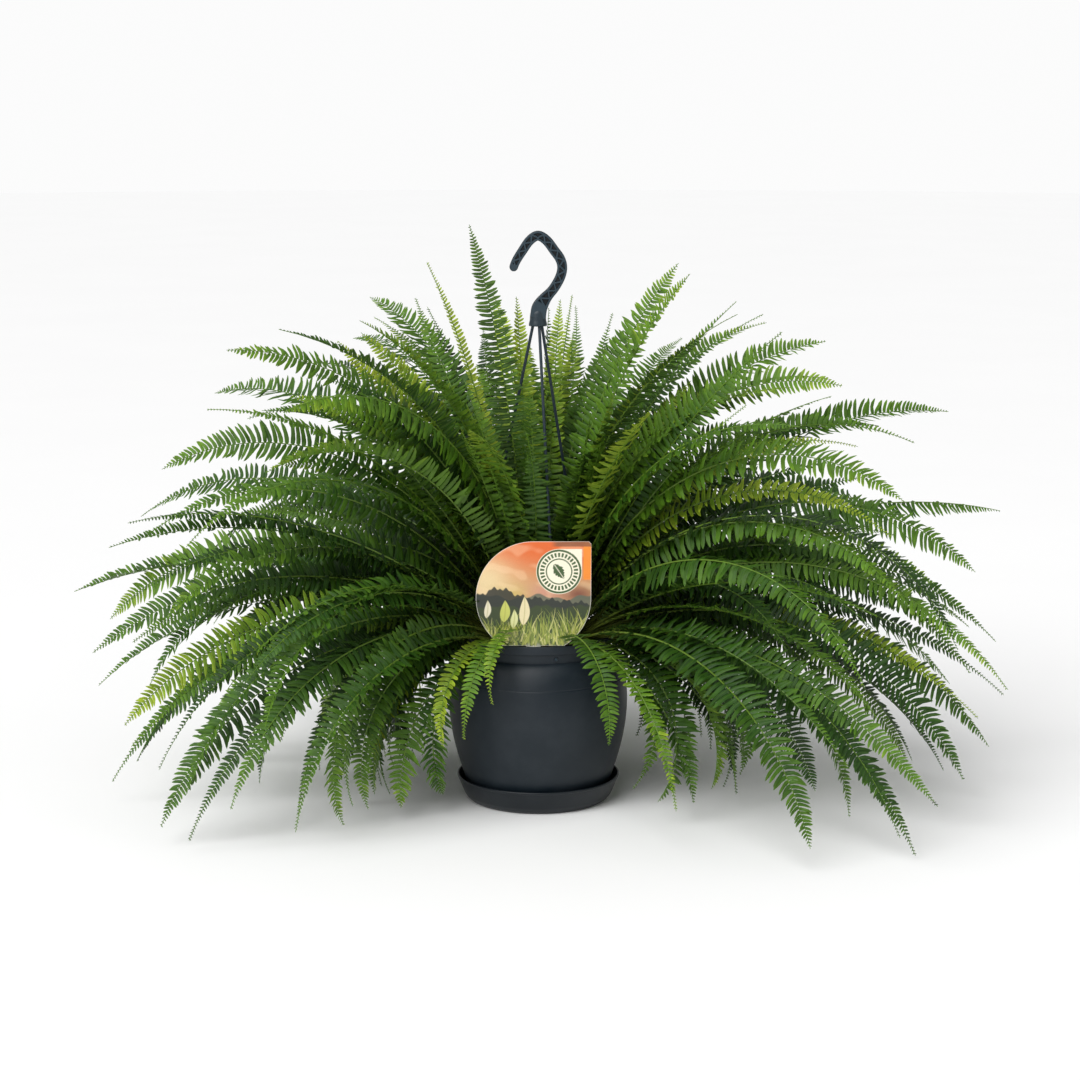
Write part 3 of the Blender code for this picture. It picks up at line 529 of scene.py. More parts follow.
def build_pot(sizes, colours):
    """The turned wall, with a hole for each hanger rod through its neck and six drain holes through its
    floor."""
    points, faces = turned_surface(pot_profile(sizes), 192, POT_BASE_Z, True)
    plastic = moulded_plastic("satin anthracite polypropylene", colours.pot, 0.47, 0.0011, 0.00010, 0.05)
    piece = add_piece("pot_shell", points, faces, plastic, 35.0)
    hole_z = RIM_Z - sizes.lip_height - sizes.neck_height / 2
    cutters = []
    for azimuth in np.radians(ROD_AZIMUTHS):
        way = np.array([math.cos(azimuth), math.sin(azimuth), 0.0])
        ends = [way * (sizes.neck_radius + shift) + [0, 0, hole_z] for shift in (-PUNCH_REACH, PUNCH_REACH)]
        cutters.append(tube_surface(np.array(ends), sizes.rod_radius + ROD_PLAY, 24))
    for azimuth in np.radians(np.arange(0, 360, 60)):
        middle = np.array([DRAIN_CIRCLE * math.cos(azimuth), DRAIN_CIRCLE * math.sin(azimuth), POT_BASE_Z])
        ends = [middle - [0, 0, PUNCH_REACH], middle + [0, 0, PUNCH_REACH]]
        cutters.append(tube_surface(np.array(ends), DRAIN_RADIUS, 24))
    punch(piece, cutters)
    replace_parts(piece, "pot")


def build_saucer(sizes, colours):
    """A turned dish: rounded foot, flared wall, rolled lip, and the snap plug in its middle."""
    foot, rim, wall = sizes.saucer_foot, sizes.saucer_rim, sizes.wall
    height = SAUCER_RIM_Z - SAUCER_BASE_Z
    floor = 0.0022
    step = 0.0006  # how far the lip stands out
    outside = [
        (0.006, floor),
        (foot - wall, floor),
        (foot + 0.0016, floor + 0.003),
        (rim - wall, height - 0.0012),
        (rim - wall, height),
        (rim, height),
        (rim, height - 0.0022),
        (rim - step, height - 0.0024),
        (rim - step - 0.0007, height - 0.0044),
        (foot + wall + 0.0021, 0.0062),
        (foot + wall * 0.55, 0.0022),
        (foot - wall, 0.0),
        (foot - 0.006, 0.0),
        (foot - 0.0075, 0.0006),
        (0.0003, 0.0006),
        (0.0, 0.0006),
    ]
    plug = [(0.0, 0.0060), (0.0046, 0.0060), (0.0070, 0.0049), (0.0060, 0.0046)]
    profile = np.concatenate([plug, round_corners(outside, 0.0012)])
    points, faces = turned_surface(profile, 192, SAUCER_BASE_Z, False)
    plastic = moulded_plastic("smooth anthracite polypropylene", colours.saucer, 0.33, 0.0016, 0.00005, 0.03)
    piece = add_piece("saucer_dish", points, faces, plastic, 35.0)
    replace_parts(piece, "saucer")


def peat_material(colours):
    """Moist peat: near-black crumbs 1 to 3 mm across with paler fibres."""
    material, tree, shader = new_material("moist peat crumb")
    place = add_node(tree, "TexCoord", "Object")
    crumbs = add_node(tree, "TexVoronoi", "Distance", {"Vector": place, "Scale": 420.0})
    strands = {"Vector": place, "Scale": 260.0, "Detail": 8.0, "Roughness": 0.75}
    fibres = add_node(tree, "TexNoise", "Fac", strands)
    paler = {"Factor": fibres, "A": rgba(colours.peat), "B": rgba(linear("#5b4330"))}
    shade = add_node(tree, "Mix", "Result", paler, data_type="RGBA")
    grain = add_node(tree, "Math", "Value", {0: fibres, 1: crumbs}, operation="ADD")
    relief = add_node(tree, "Bump", "Normal", {"Height": grain, "Strength": 1.0, "Distance": 0.0012})
    feed(tree, shader, {"Base Color": shade, "Normal": relief, "Roughness": 0.92})
    return material


def build_peat(sizes, colours):
    """A crumbly disc: its top is the fill level plus two sizes of seeded waves, its side follows the pot's
    neck, and its underside is flat."""
    _, x, y = disc_grid(sizes.neck_radius - sizes.wall - PEAT_GAP, 70, 220)
    bumps = waves(x, y, 0.0, 11, 12, 0.016) * 0.0010 + waves(x, y, 0.0, 12, 18, 0.0045) * 0.0006
    level = SOIL_Z - PEAT_CRUMB
    points, faces = disc_surface(x, y, level + bumps, level, SOIL_Z - PEAT_DEPTH)
    piece = add_piece("peat_surface", points, faces, peat_material(colours), 80.0)
    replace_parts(piece, "potting_soil")


def bark_material(colours):
    """Old stalk bases: dry brown scales and hairs drawn out lengthwise, mossy in patches about 10 mm
    across."""
    material, tree, shader = new_material("dry scaly stalk bases")
    place = add_node(tree, "TexCoord", "Object")
    stretch = add_node(tree, "Mapping", "Vector", {"Vector": place, "Scale": (1.0, 1.0, 0.25)})
    hairs = add_node(tree, "TexNoise", "Fac", {"Vector": stretch, "Scale": 620.0, "Detail": 6.0})
    patches = add_node(tree, "TexNoise", "Fac", {"Vector": place, "Scale": 90.0, "Detail": 4.0})
    dry = {"Factor": hairs, "A": rgba(colours.rhizome), "B": rgba(linear("#8a6236"))}
    shade = add_node(tree, "Mix", "Result", dry, data_type="RGBA")
    moss = {"Factor": patches, "A": shade, "B": rgba(linear("#3b3a1a"))}
    mossy = add_node(tree, "Mix", "Result", moss, data_type="RGBA")
    relief = add_node(tree, "Bump", "Normal", {"Height": hairs, "Strength": 0.9, "Distance": 0.0010})
    feed(tree, shader, {"Base Color": mossy, "Normal": relief, "Roughness": 0.88})
    return material


def build_rhizome(colours):
    """A low dome of crowded stalk bases: the dome's height times a seeded wave pattern, with 90 blunt stubs
    as Gaussian bumps, on a flat underside."""
    radius, x, y = disc_grid(ROOTSTOCK_RADIUS, 80, 240)
    dome = ROOTSTOCK_HEIGHT * np.sqrt(np.clip(1 - (radius / ROOTSTOCK_RADIUS) ** 2, 0, 1))
    top = dome * (0.80 + 0.10 * waves(x, y, 0.0, 21, 12, 0.012))
    rng = np.random.default_rng(22)
    reach = ROOTSTOCK_RADIUS * 0.88 * np.sqrt(rng.uniform(0, 1, STUBS))
    turn = rng.uniform(0, 2 * math.pi, STUBS)
    tall = rng.uniform(0.002, 0.006, STUBS)
    wide = rng.uniform(0.0016, 0.0028, STUBS)
    gap_x = x[..., None] - reach * np.cos(turn)
    gap_y = y[..., None] - reach * np.sin(turn)
    stubs = tall * np.exp(-(((gap_x**2 + gap_y**2) / wide**2) ** 2))
    top = top + stubs.max(axis=-1)
    top[-1] = 0.0
    peak = SOIL_Z + float(top[0].mean())
    points, faces = disc_surface(x, y, SOIL_Z + top - 0.0005, peak, SOIL_Z - 0.003)
    piece = add_piece("rhizome_crown", points, faces, bark_material(colours), 60.0)
    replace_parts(piece, "rootstock")


# ---------------------------------------------------------------- hook and hanger
def smooth_route(corners, steps):
    """A Catmull-Rom curve through the corners, as one array."""
    corners = np.asarray(corners, float)
    ends = np.concatenate([[2 * corners[0] - corners[1]], corners, [2 * corners[-1] - corners[-2]]])
    before, first, second, after = (ends[k : len(ends) - 3 + k, None] for k in range(4))
    t = (np.arange(steps) / steps)[None, :, None]
    curve = first + (second - before) * (t / 2)
    curve = curve + (2 * before - 5 * first + 4 * second - after) * (t**2 / 2)
    curve = curve + (3 * first - before - 3 * second + after) * (t**3 / 2)
    return np.concatenate([curve.reshape(-1, corners.shape[1]), corners[-1:]])


def even_route(route, count):
    """The same route with its points spread evenly along its length, and its length."""
    travel = np.concatenate([[0.0], np.cumsum(np.linalg.norm(np.diff(route, axis=0), axis=1))])
    places = np.linspace(0.0, travel[-1], count)
    points = np.stack([np.interp(places, travel, column) for column in route.T], axis=1)
    return points, places


def smoothstep(value):
    """3 t^2 - 2 t^3 of the value held between 0 and 1: a step with soft ends."""
    value = np.clip(value, 0.0, 1.0)
    return value * value * (3 - 2 * value)


def build_hook(sizes, colours):
    """A flat bar carried along the hook's route. Its section is a rounded rectangle; both faces are sunk
    between the edge ribs and a zigzag rib, by a depth worked out from the distance along and across the
    bar. Its lower end widens into a turned skirt."""
    route, travel = even_route(smooth_route(HOOK_ROUTE, 24), 460)
    length = travel[-1]
    along = np.gradient(route, axis=0)
    along /= np.linalg.norm(along, axis=1)[:, None]
    across = np.stack([-along[:, 1], along[:, 0]], axis=1)
    half = sizes.hook_width / 2 * (1 - sizes.hook_taper * (1 - travel / length) ** 4)
    thick = np.full(len(travel), sizes.hook_depth / 2)
    nose = np.sqrt(np.clip(1 - (1 - np.clip(travel / 0.0045, 0, 1)) ** 2, 0.02, 1))
    flare = smoothstep((travel - length + 0.030) / 0.024)
    half = half * nose * (1 + 0.58 * flare)
    thick = thick * (0.55 + 0.45 * nose) * (1 + 0.8 * flare)
    # Round the section: across runs -1 to 1 over the front face, then back over the rear one.
    face = np.linspace(-1.0, 1.0, 44)
    corner = np.array([[1.0, 0.55], [1.0, 0.0], [1.0, -0.55]])
    front = np.stack([face, np.ones(44)], axis=1)
    section = np.concatenate([front, corner, -front, -corner])
    u = section[:, 0][None, :]
    v = section[:, 1][None, :]
    a = u * half[:, None]
    edge = half[:, None] - np.abs(a)
    shrink = 1 - np.sqrt(np.clip(1 - np.clip(1 - edge / HOOK_ROUNDING, 0, 1) ** 2, 0, 1))
    swing = half[:, None] - sizes.hook_rib
    phase = (travel[:, None] / sizes.hook_truss) % 1.0
    zigzag = swing * (4 * np.abs(phase - 0.5) - 1)
    lean = np.cos(np.arctan(4 * swing / sizes.hook_truss))
    clear = np.abs(a - zigzag) * lean - sizes.hook_rib * 0.36
    start = smoothstep((travel[:, None] - 0.006) / 0.002)
    stop = smoothstep((length - 0.014 - travel[:, None]) / 0.002)
    sunk = smoothstep((edge - sizes.hook_rib) / 0.0004) * smoothstep(clear / 0.0004) * start * stop
    flat = np.abs(v) > 0.9
    height = thick[:, None] * v - np.sign(v) * flat * (shrink * HOOK_ROUNDING + sunk * sizes.hook_pocket)
    x = route[:, 0, None] + across[:, 0, None] * a
    z = route[:, 1, None] + across[:, 1, None] * a
    points, faces = flat_closed(np.stack([x, height, z], axis=-1))
    # Painted light: the rib light share is 1 on the ribs' flat faces, a painted highlight, and 0 in the
    # pockets, at the rounded edges and on the sides, which keep the dark pocket colour as painted shade.
    rib_light_share = np.broadcast_to(flat * (1 - sunk) * smoothstep(edge / 0.0006), height.shape).reshape(-1, 1)
    rib_light_share = np.concatenate([np.repeat(rib_light_share, 3, axis=1), np.ones_like(rib_light_share)], axis=1)
    plastic = moulded_plastic("charcoal blue polypropylene", colours.hook, 0.38, 0.0013, 0.00006, 0.04)
    name = "rubbed charcoal polypropylene"
    ribbed = moulded_plastic(name, colours.hook_pocket, 0.4, 0.0013, 0.00006, 0.02, colours.hook_rib)
    attributes = [("rib_light_share", "FLOAT_COLOR", rib_light_share)]
    bar = add_piece("hook_bar", points, faces, ribbed, 32.0, attributes)
    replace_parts(bar, "hook")
    outline = [
        (0.0, 0.0162),
        (0.0058, 0.0162),
        (0.0074, 0.0132),
        (0.0079, 0.0095),
        (0.0081, 0.0055),
        (sizes.skirt_radius, 0.0020),
        (sizes.skirt_radius, 0.0),
        (sizes.skirt_radius - 0.0013, 0.0),
        (sizes.skirt_radius - 0.0016, 0.0012),
        (0.0004, 0.0012),
        (0.0, 0.0012),
    ]
    points, faces = turned_surface(round_corners(outline, 0.0009), 96, SKIRT_Z, False)
    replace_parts(add_piece("hook_skirt", points, faces, plastic, 32.0), "hook")


def build_rods(sizes, colours):
    """Three round rods: straight from a socket in the skirt to the rim, down inside the neck, and out
    through its hole in a quarter circle."""
    plastic = moulded_plastic("charcoal polypropylene rod", colours.rod, 0.42, 0.0012, 0.00004, 0.02)
    seat = sizes.neck_radius - sizes.wall - sizes.rod_radius - ROD_PLAY
    hole_z = RIM_Z - sizes.lip_height - sizes.neck_height / 2
    turn_z = RIM_Z + 0.006
    lean = np.array([SOCKET_CIRCLE - seat, SKIRT_Z - turn_z])
    lean /= np.linalg.norm(lean)
    socket = np.array([SOCKET_CIRCLE, SKIRT_Z]) + lean * (SOCKET_DEPTH - 0.0004)
    elbow = np.array([seat, turn_z])
    quarter = np.radians(np.linspace(0, 90, 7))
    hooked = [seat + ROD_BEND * (1 - np.cos(quarter)), hole_z + ROD_BEND * (1 - np.sin(quarter))]
    ends = [[sizes.neck_radius + 0.0014, hole_z], [sizes.neck_radius + 0.0020, hole_z]]
    straight = np.linspace(socket, elbow + lean * ROD_BEND, 24)
    flat = np.concatenate([straight, [elbow - [0.0, ROD_BEND]], np.stack(hooked, axis=1), ends])
    radius = np.full(len(flat), sizes.rod_radius)
    radius[-1] *= 0.7
    for index, azimuth in enumerate(np.radians(ROD_AZIMUTHS), start=1):
        route = np.stack([flat[:, 0] * math.cos(azimuth), flat[:, 0] * math.sin(azimuth), flat[:, 1]], axis=1)
        across = np.broadcast_to([-math.sin(azimuth), math.cos(azimuth), 0.0], route.shape)
        points, faces = tube_surface(route, radius, 20, across)
        piece = add_piece(f"hanger_rod_{index}", points, faces, plastic, 50.0)
        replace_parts(piece, f"hanger_arm_{index}")


# ---------------------------------------------------------------- plant label
def mixed(under, over, amount):
    """Colours under and over, blended point by point by amount."""
    amount = np.clip(amount, 0.0, 1.0)[..., None]
    return under * (1 - amount) + np.asarray(over) * amount


def label_art(x, z, colours):
    """The printed picture in millimetres from the label's centre: an evening sky, hills as sums of sine
    waves, blades of grass as leaning bands, four buds as pointed ovals, and a round badge with a plain
    leaf."""
    art = mixed(np.broadcast_to(colours.sky_low, (*x.shape, 3)), colours.sky_high, smoothstep((z - 6) / 44))
    # Soft patches of the sky: middle and reach across, middle and reach up, colour, strength.
    for middle, wide, level, tall, tone, strength in (
        (-46, 26, 18, 26, "#ecd6a4", 0.85),
        (-20, 16, 4, 9, "#c8b25e", 0.75),
        (14, 20, 6, 10, "#c78a7c", 0.7),
        (44, 16, 4, 9, "#6e2f22", 0.85),
    ):
        patch = np.exp(-(((x - middle) / wide) ** 2) - ((z - level) / tall) ** 2)
        art = mixed(art, linear(tone), strength * patch)
    cloud = waves(x, z * 2.4, 0.0, 31, 12, 30.0)
    art = mixed(art, linear("#ffe0b4"), 0.22 * smoothstep(cloud))
    far = 2.0 + 2.2 * np.sin(x / 8.0 + 1.0) + 1.3 * np.sin(x / 3.1)
    near = 1.0 + 9.5 * np.exp(-(((x + 34) / 17) ** 2)) + 1.4 * np.sin(x / 2.3) + 0.9 * np.sin(x / 0.9)
    near = near - 0.10 * np.clip(x, 0, None)
    meadow = -7.5 + 1.6 * np.sin(x / 6.0) + 0.8 * np.sin(x / 1.7)
    art = mixed(art, linear("#55604e"), smoothstep((far - z) / 1.6) * 0.9)
    art = mixed(art, colours.hills, smoothstep((near - z) / 1.2) * 0.95)
    art = mixed(art, linear("#2e3c14"), smoothstep((meadow - z) / 2.4))
    rng = np.random.default_rng(33)
    for _ in range(GRASS_BLADES):
        foot = rng.uniform(-50, 52)
        tall = rng.uniform(9, 24) + 0.10 * foot
        low = -48 + rng.uniform(-2, 14)
        bow = rng.normal(0, 0.012)
        lean = rng.normal(0.04, 0.34)
        up = z - low
        middle = foot + lean * up + bow * up**2
        share = np.clip(up / tall, 0, 1)
        width = 0.75 * (1 - share) + 0.10
        inside = smoothstep((width - np.abs(x - middle)) / 0.35 + 0.5) * (up > 0) * (up < tall)
        tone = rng.choice(GRASS_TONES)
        art = mixed(art, linear(tone), inside * rng.uniform(0.65, 0.95) * (z < meadow + 5))
    # Buds: middle, foot, height, half-width, colour.
    for middle, low, tall, wide, tone in (
        (-10.0, -27.0, 29.0, 5.2, "#eadcae"),
        (-29.0, -24.0, 22.0, 5.0, "#c9cc62"),
        (-20.0, -30.0, 19.0, 3.6, "#dfe0a0"),
        (-46.0, -20.0, 18.0, 3.4, "#efe6c8"),
    ):
        share = np.clip((z - low) / tall, 0, 1)
        width = wide * np.sin(math.pi * share**0.8) ** 0.9
        sway = middle + 1.6 * np.sin(2.2 * share)
        inside = smoothstep((width - np.abs(x - sway)) / 0.5 + 0.3) * (z > low) * (z < low + tall)
        art = mixed(art, linear(tone), inside * 0.92)
        art = mixed(art, linear("#9a9440"), 0.5 * np.exp(-(((x - sway) / 0.5) ** 2)) * inside)
    art = mixed(art, linear("#f08a24"), smoothstep((x - 48.5) / 0.5) * smoothstep((z - 18) / 1.0))
    art = mixed(art, linear("#8a5230"), smoothstep((z - 51) / 0.6) * smoothstep((x - 16) / 8) * 0.9)
    # The badge: a round ground with a square upper right quarter, two rings, a ring of plain bars, and the
    # leaf.
    bx, bz = x - 25.0, z - 26.5
    reach = np.hypot(bx, bz)
    badge = np.where((bx > 0) & (bz > 0), np.maximum(bx, bz), reach)
    art = mixed(art, colours.badge, smoothstep((22.6 - badge) / 0.5))
    for middle, width in ((20.8, 1.0), (12.4, 0.6)):
        art = mixed(art, colours.ink, smoothstep((width - np.abs(reach - middle)) / 0.3 + 0.5))
    one_turn = 2 * math.pi
    along = np.abs(((np.arctan2(bz, bx) * BARS / one_turn) % 1.0) - 0.5) * (one_turn / BARS) * BAR_CIRCLE
    bars = np.maximum(along - 1.0, np.abs(reach - BAR_CIRCLE) - 2.1)
    art = mixed(art, colours.ink, smoothstep(0.5 - bars / 0.4))
    lx = bx * math.cos(0.6) + bz * math.sin(0.6)
    lz = -bx * math.sin(0.6) + bz * math.cos(0.6)
    share = np.clip((lz + 9.5) / 19, 0, 1)
    leaf = 5.6 * np.sin(math.pi * share**1.15)
    notch = 0.75 + 0.25 * np.abs(np.sin(share * 18 + np.abs(lx) * 0.7))
    inside = smoothstep((leaf * notch - np.abs(lx)) / 0.4) * (np.abs(lz) < 9.5)
    vein = smoothstep((0.45 - np.abs(lx)) / 0.25)
    return mixed(art, colours.ink, inside * (1 - vein))


def label_reach(angle):
    """Distance from the label's centre to its outline in each direction: a circle, its upper right quarter
    squared off, a flat foot and, below that foot, a pointed stake."""
    cosine = np.abs(np.cos(angle))
    sine = np.sin(angle)
    right = (angle > 0) & (angle < math.pi / 2)
    square = LABEL_RADIUS / np.maximum(cosine, np.abs(sine))
    reach = np.where(right, np.minimum(square, LABEL_RADIUS * 1.385), LABEL_RADIUS)
    below = sine < 0
    safe = np.where(below, -sine, 1.0)
    foot = LABEL_CHORD_DROP / safe
    reach = np.where(below, np.minimum(reach, foot), reach)
    tip = LABEL_HIGH.z - LABEL_RADIUS - LABEL_LOW.z
    sideways = STAKE_HALF / np.maximum(cosine, 1e-6)
    slanted = tip / (safe + cosine * STAKE_POINT / STAKE_HALF)
    stake = np.minimum(sideways, slanted)
    return np.where(below & (stake > foot), stake, reach)


def print_material():
    """Offset print on 0.6 mm polystyrene card under a gloss varnish: the ink is held as a colour on each
    point, a fine halftone grain shows close to, and the varnish gives a clear sheen."""
    material, tree, shader = new_material("varnished offset print on card")
    ink = add_node(tree, "Attribute", "Color", attribute_name="ink")
    place = add_node(tree, "TexCoord", "Object")
    halftone = add_node(tree, "TexNoise", "Fac", {"Vector": place, "Scale": 2600.0, "Detail": 1.0})
    dots = {"Value": halftone, "From Min": 0.3, "From Max": 0.7, "To Min": 0.94, "To Max": 1.06}
    grain = add_node(tree, "MapRange", "Result", dots)
    printed = add_node(tree, "VectorMath", "Vector", {0: ink, "Scale": grain}, operation="SCALE")
    bow = add_node(tree, "TexNoise", "Fac", {"Vector": place, "Scale": 30.0, "Detail": 2.0})
    relief = add_node(tree, "Bump", "Normal", {"Height": bow, "Strength": 0.2, "Distance": 0.002})
    feed(tree, shader, {"Base Color": printed, "Normal": relief, "Roughness": 0.36})
    feed(tree, shader, {"Coat Weight": 0.25, "Coat Roughness": 0.12})
    return material


def build_label(colours):
    """A polar grid whose rings are shares of the outline's reach, as a front and a back face joined at the
    rim."""
    rings, around = 140, 632
    half_foot = math.acos(LABEL_CHORD_DROP / LABEL_RADIUS)
    neck = math.atan2(STAKE_HALF, LABEL_CHORD_DROP)
    stake_end = LABEL_HIGH.z - LABEL_RADIUS - LABEL_LOW.z
    shoulder = math.atan2(STAKE_HALF, stake_end - STAKE_POINT)
    down = -math.pi / 2
    corners = [down, 0.0, math.pi / 4, math.pi / 2]
    for turn in (half_foot, neck, neck + 1e-4, shoulder):
        corners += [down - turn, down + turn]
    angle = np.linspace(-math.pi, math.pi, around, endpoint=False)
    corners = [(turn + math.pi) % (2 * math.pi) - math.pi for turn in corners]
    angle = np.unique(np.concatenate([angle, corners]))
    reach = label_reach(angle)
    share = np.linspace(0.0, 1.0, rings + 1)[1:, None]
    x = share * reach * np.cos(angle)
    z = share * reach * np.sin(angle)
    middle_x = (LABEL_LOW.x + LABEL_HIGH.x) / 2
    middle_z = LABEL_HIGH.z - LABEL_RADIUS
    ink = label_art(x * 1000, z * 1000, colours)
    rim = 0.7 * smoothstep((0.0004 - reach * (1 - share)) / 0.0003 + 0.5)
    ink = mixed(ink, linear("#f4efe6"), rim * (z > -LABEL_CHORD_DROP))
    white = linear("#e9e6de")
    ink = mixed(ink, white, (z < -LABEL_CHORD_DROP - 1e-6) * 1.0)
    back_share = np.array([1.0, 0.66, 0.33])[:, None]
    back_x = back_share * reach * np.cos(angle)
    back_z = back_share * reach * np.sin(angle)
    front = np.stack([x + middle_x, np.full(x.shape, LABEL_LOW.y), z + middle_z], axis=-1)
    back = np.stack([back_x + middle_x, np.full(back_x.shape, LABEL_HIGH.y), back_z + middle_z], axis=-1)
    poles = [[middle_x, LABEL_LOW.y, middle_z], [middle_x, LABEL_HIGH.y, middle_z]]
    points, faces = fan_closed(np.concatenate([front, back]), poles)
    plain = np.broadcast_to(white, (back_x.size, 3))
    inked = np.concatenate([ink.reshape(-1, 3), plain, ink[0, :1], np.array([white])])
    inked = np.concatenate([inked, np.ones((len(inked), 1))], axis=1)
    attributes = [("ink", "FLOAT_COLOR", inked)]
    piece = add_piece("label_card", points, faces, print_material(), 30.0, attributes)
    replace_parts(piece, "plant_label")


# ---------------------------------------------------------------- fronds
def frond_midrib(azimuth, rise, tip, length, share):
    """Points along the frond's middle, its directions and its level side: a curve in an upright plane,
    which leaves the rootstock at the rise angle and turns towards the tip angle as a power of the share of
    its length."""
    fine = np.linspace(0.0, 1.0, 161)
    bend = FROND_BEND_LEVEL + (FROND_BEND_UPRIGHT - FROND_BEND_LEVEL) * rise / 90
    angle = np.radians(rise + (tip - rise) * fine**bend)
    middle = (angle[1:] + angle[:-1]) / 2
    step = length / (len(fine) - 1)
    base = FROND_BASE_SPREAD * math.sqrt(math.cos(math.radians(rise)))
    out = base + np.concatenate([[0.0], np.cumsum(np.cos(middle) * step)])
    dome = ROOTSTOCK_HEIGHT * math.sqrt(1 - (base / ROOTSTOCK_RADIUS) ** 2)
    up = SOIL_Z + dome + FROND_BASE_LIFT + np.concatenate([[0.0], np.cumsum(np.sin(middle) * step)])
    turn = math.radians(azimuth)
    out = np.interp(share, fine, out)
    points = np.stack([out * math.cos(turn), out * math.sin(turn), np.interp(share, fine, up)], axis=1)
    angle = np.interp(share, fine, angle)
    along = np.stack([np.cos(angle) * math.cos(turn), np.cos(angle) * math.sin(turn), np.sin(angle)], axis=1)
    level = np.array([-math.sin(turn), math.cos(turn), 0.0])
    return points, along, level


def blade_half_width(share, widest, fill):
    """Half-width along a frond: a bare stalk, a quick swell, then a taper to the tip, the later the greater
    its fill."""
    blade = np.clip((share - BARE_STALK) / (1 - BARE_STALK), 0.0, 1.0)
    swell = np.minimum((blade / BLADE_SWELL) ** 0.6, 1.0)
    return widest * swell * (1 - blade**fill) ** 0.9


def leaf_tone(age, colours):
    """The leaf colour at each age from 0 to 1, between the old, mature, fresh and young greens."""
    stops = np.array([colours.leaf_old, colours.leaf_mature, colours.leaf_fresh, colours.leaf_young])
    places = (0.0, 0.35, 0.7, 1.0)
    return np.stack([np.interp(age, places, stops[:, channel]) for channel in range(3)], axis=-1)


def leaflet_quads(count, stations):
    """Faces of count leaflets, each a run of four-cornered stations with a flat face at both ends."""
    start = (np.arange(count) * stations * 4)[:, None, None]
    sides = grid_quads(stations, 4)[None] + start
    near = np.array([[3, 2, 1, 0]])[None] + start
    far = np.array([[0, 1, 2, 3]])[None] + (stations - 1) * 4 + start
    return np.concatenate([part.reshape(-1, 4) for part in (sides, near, far)])


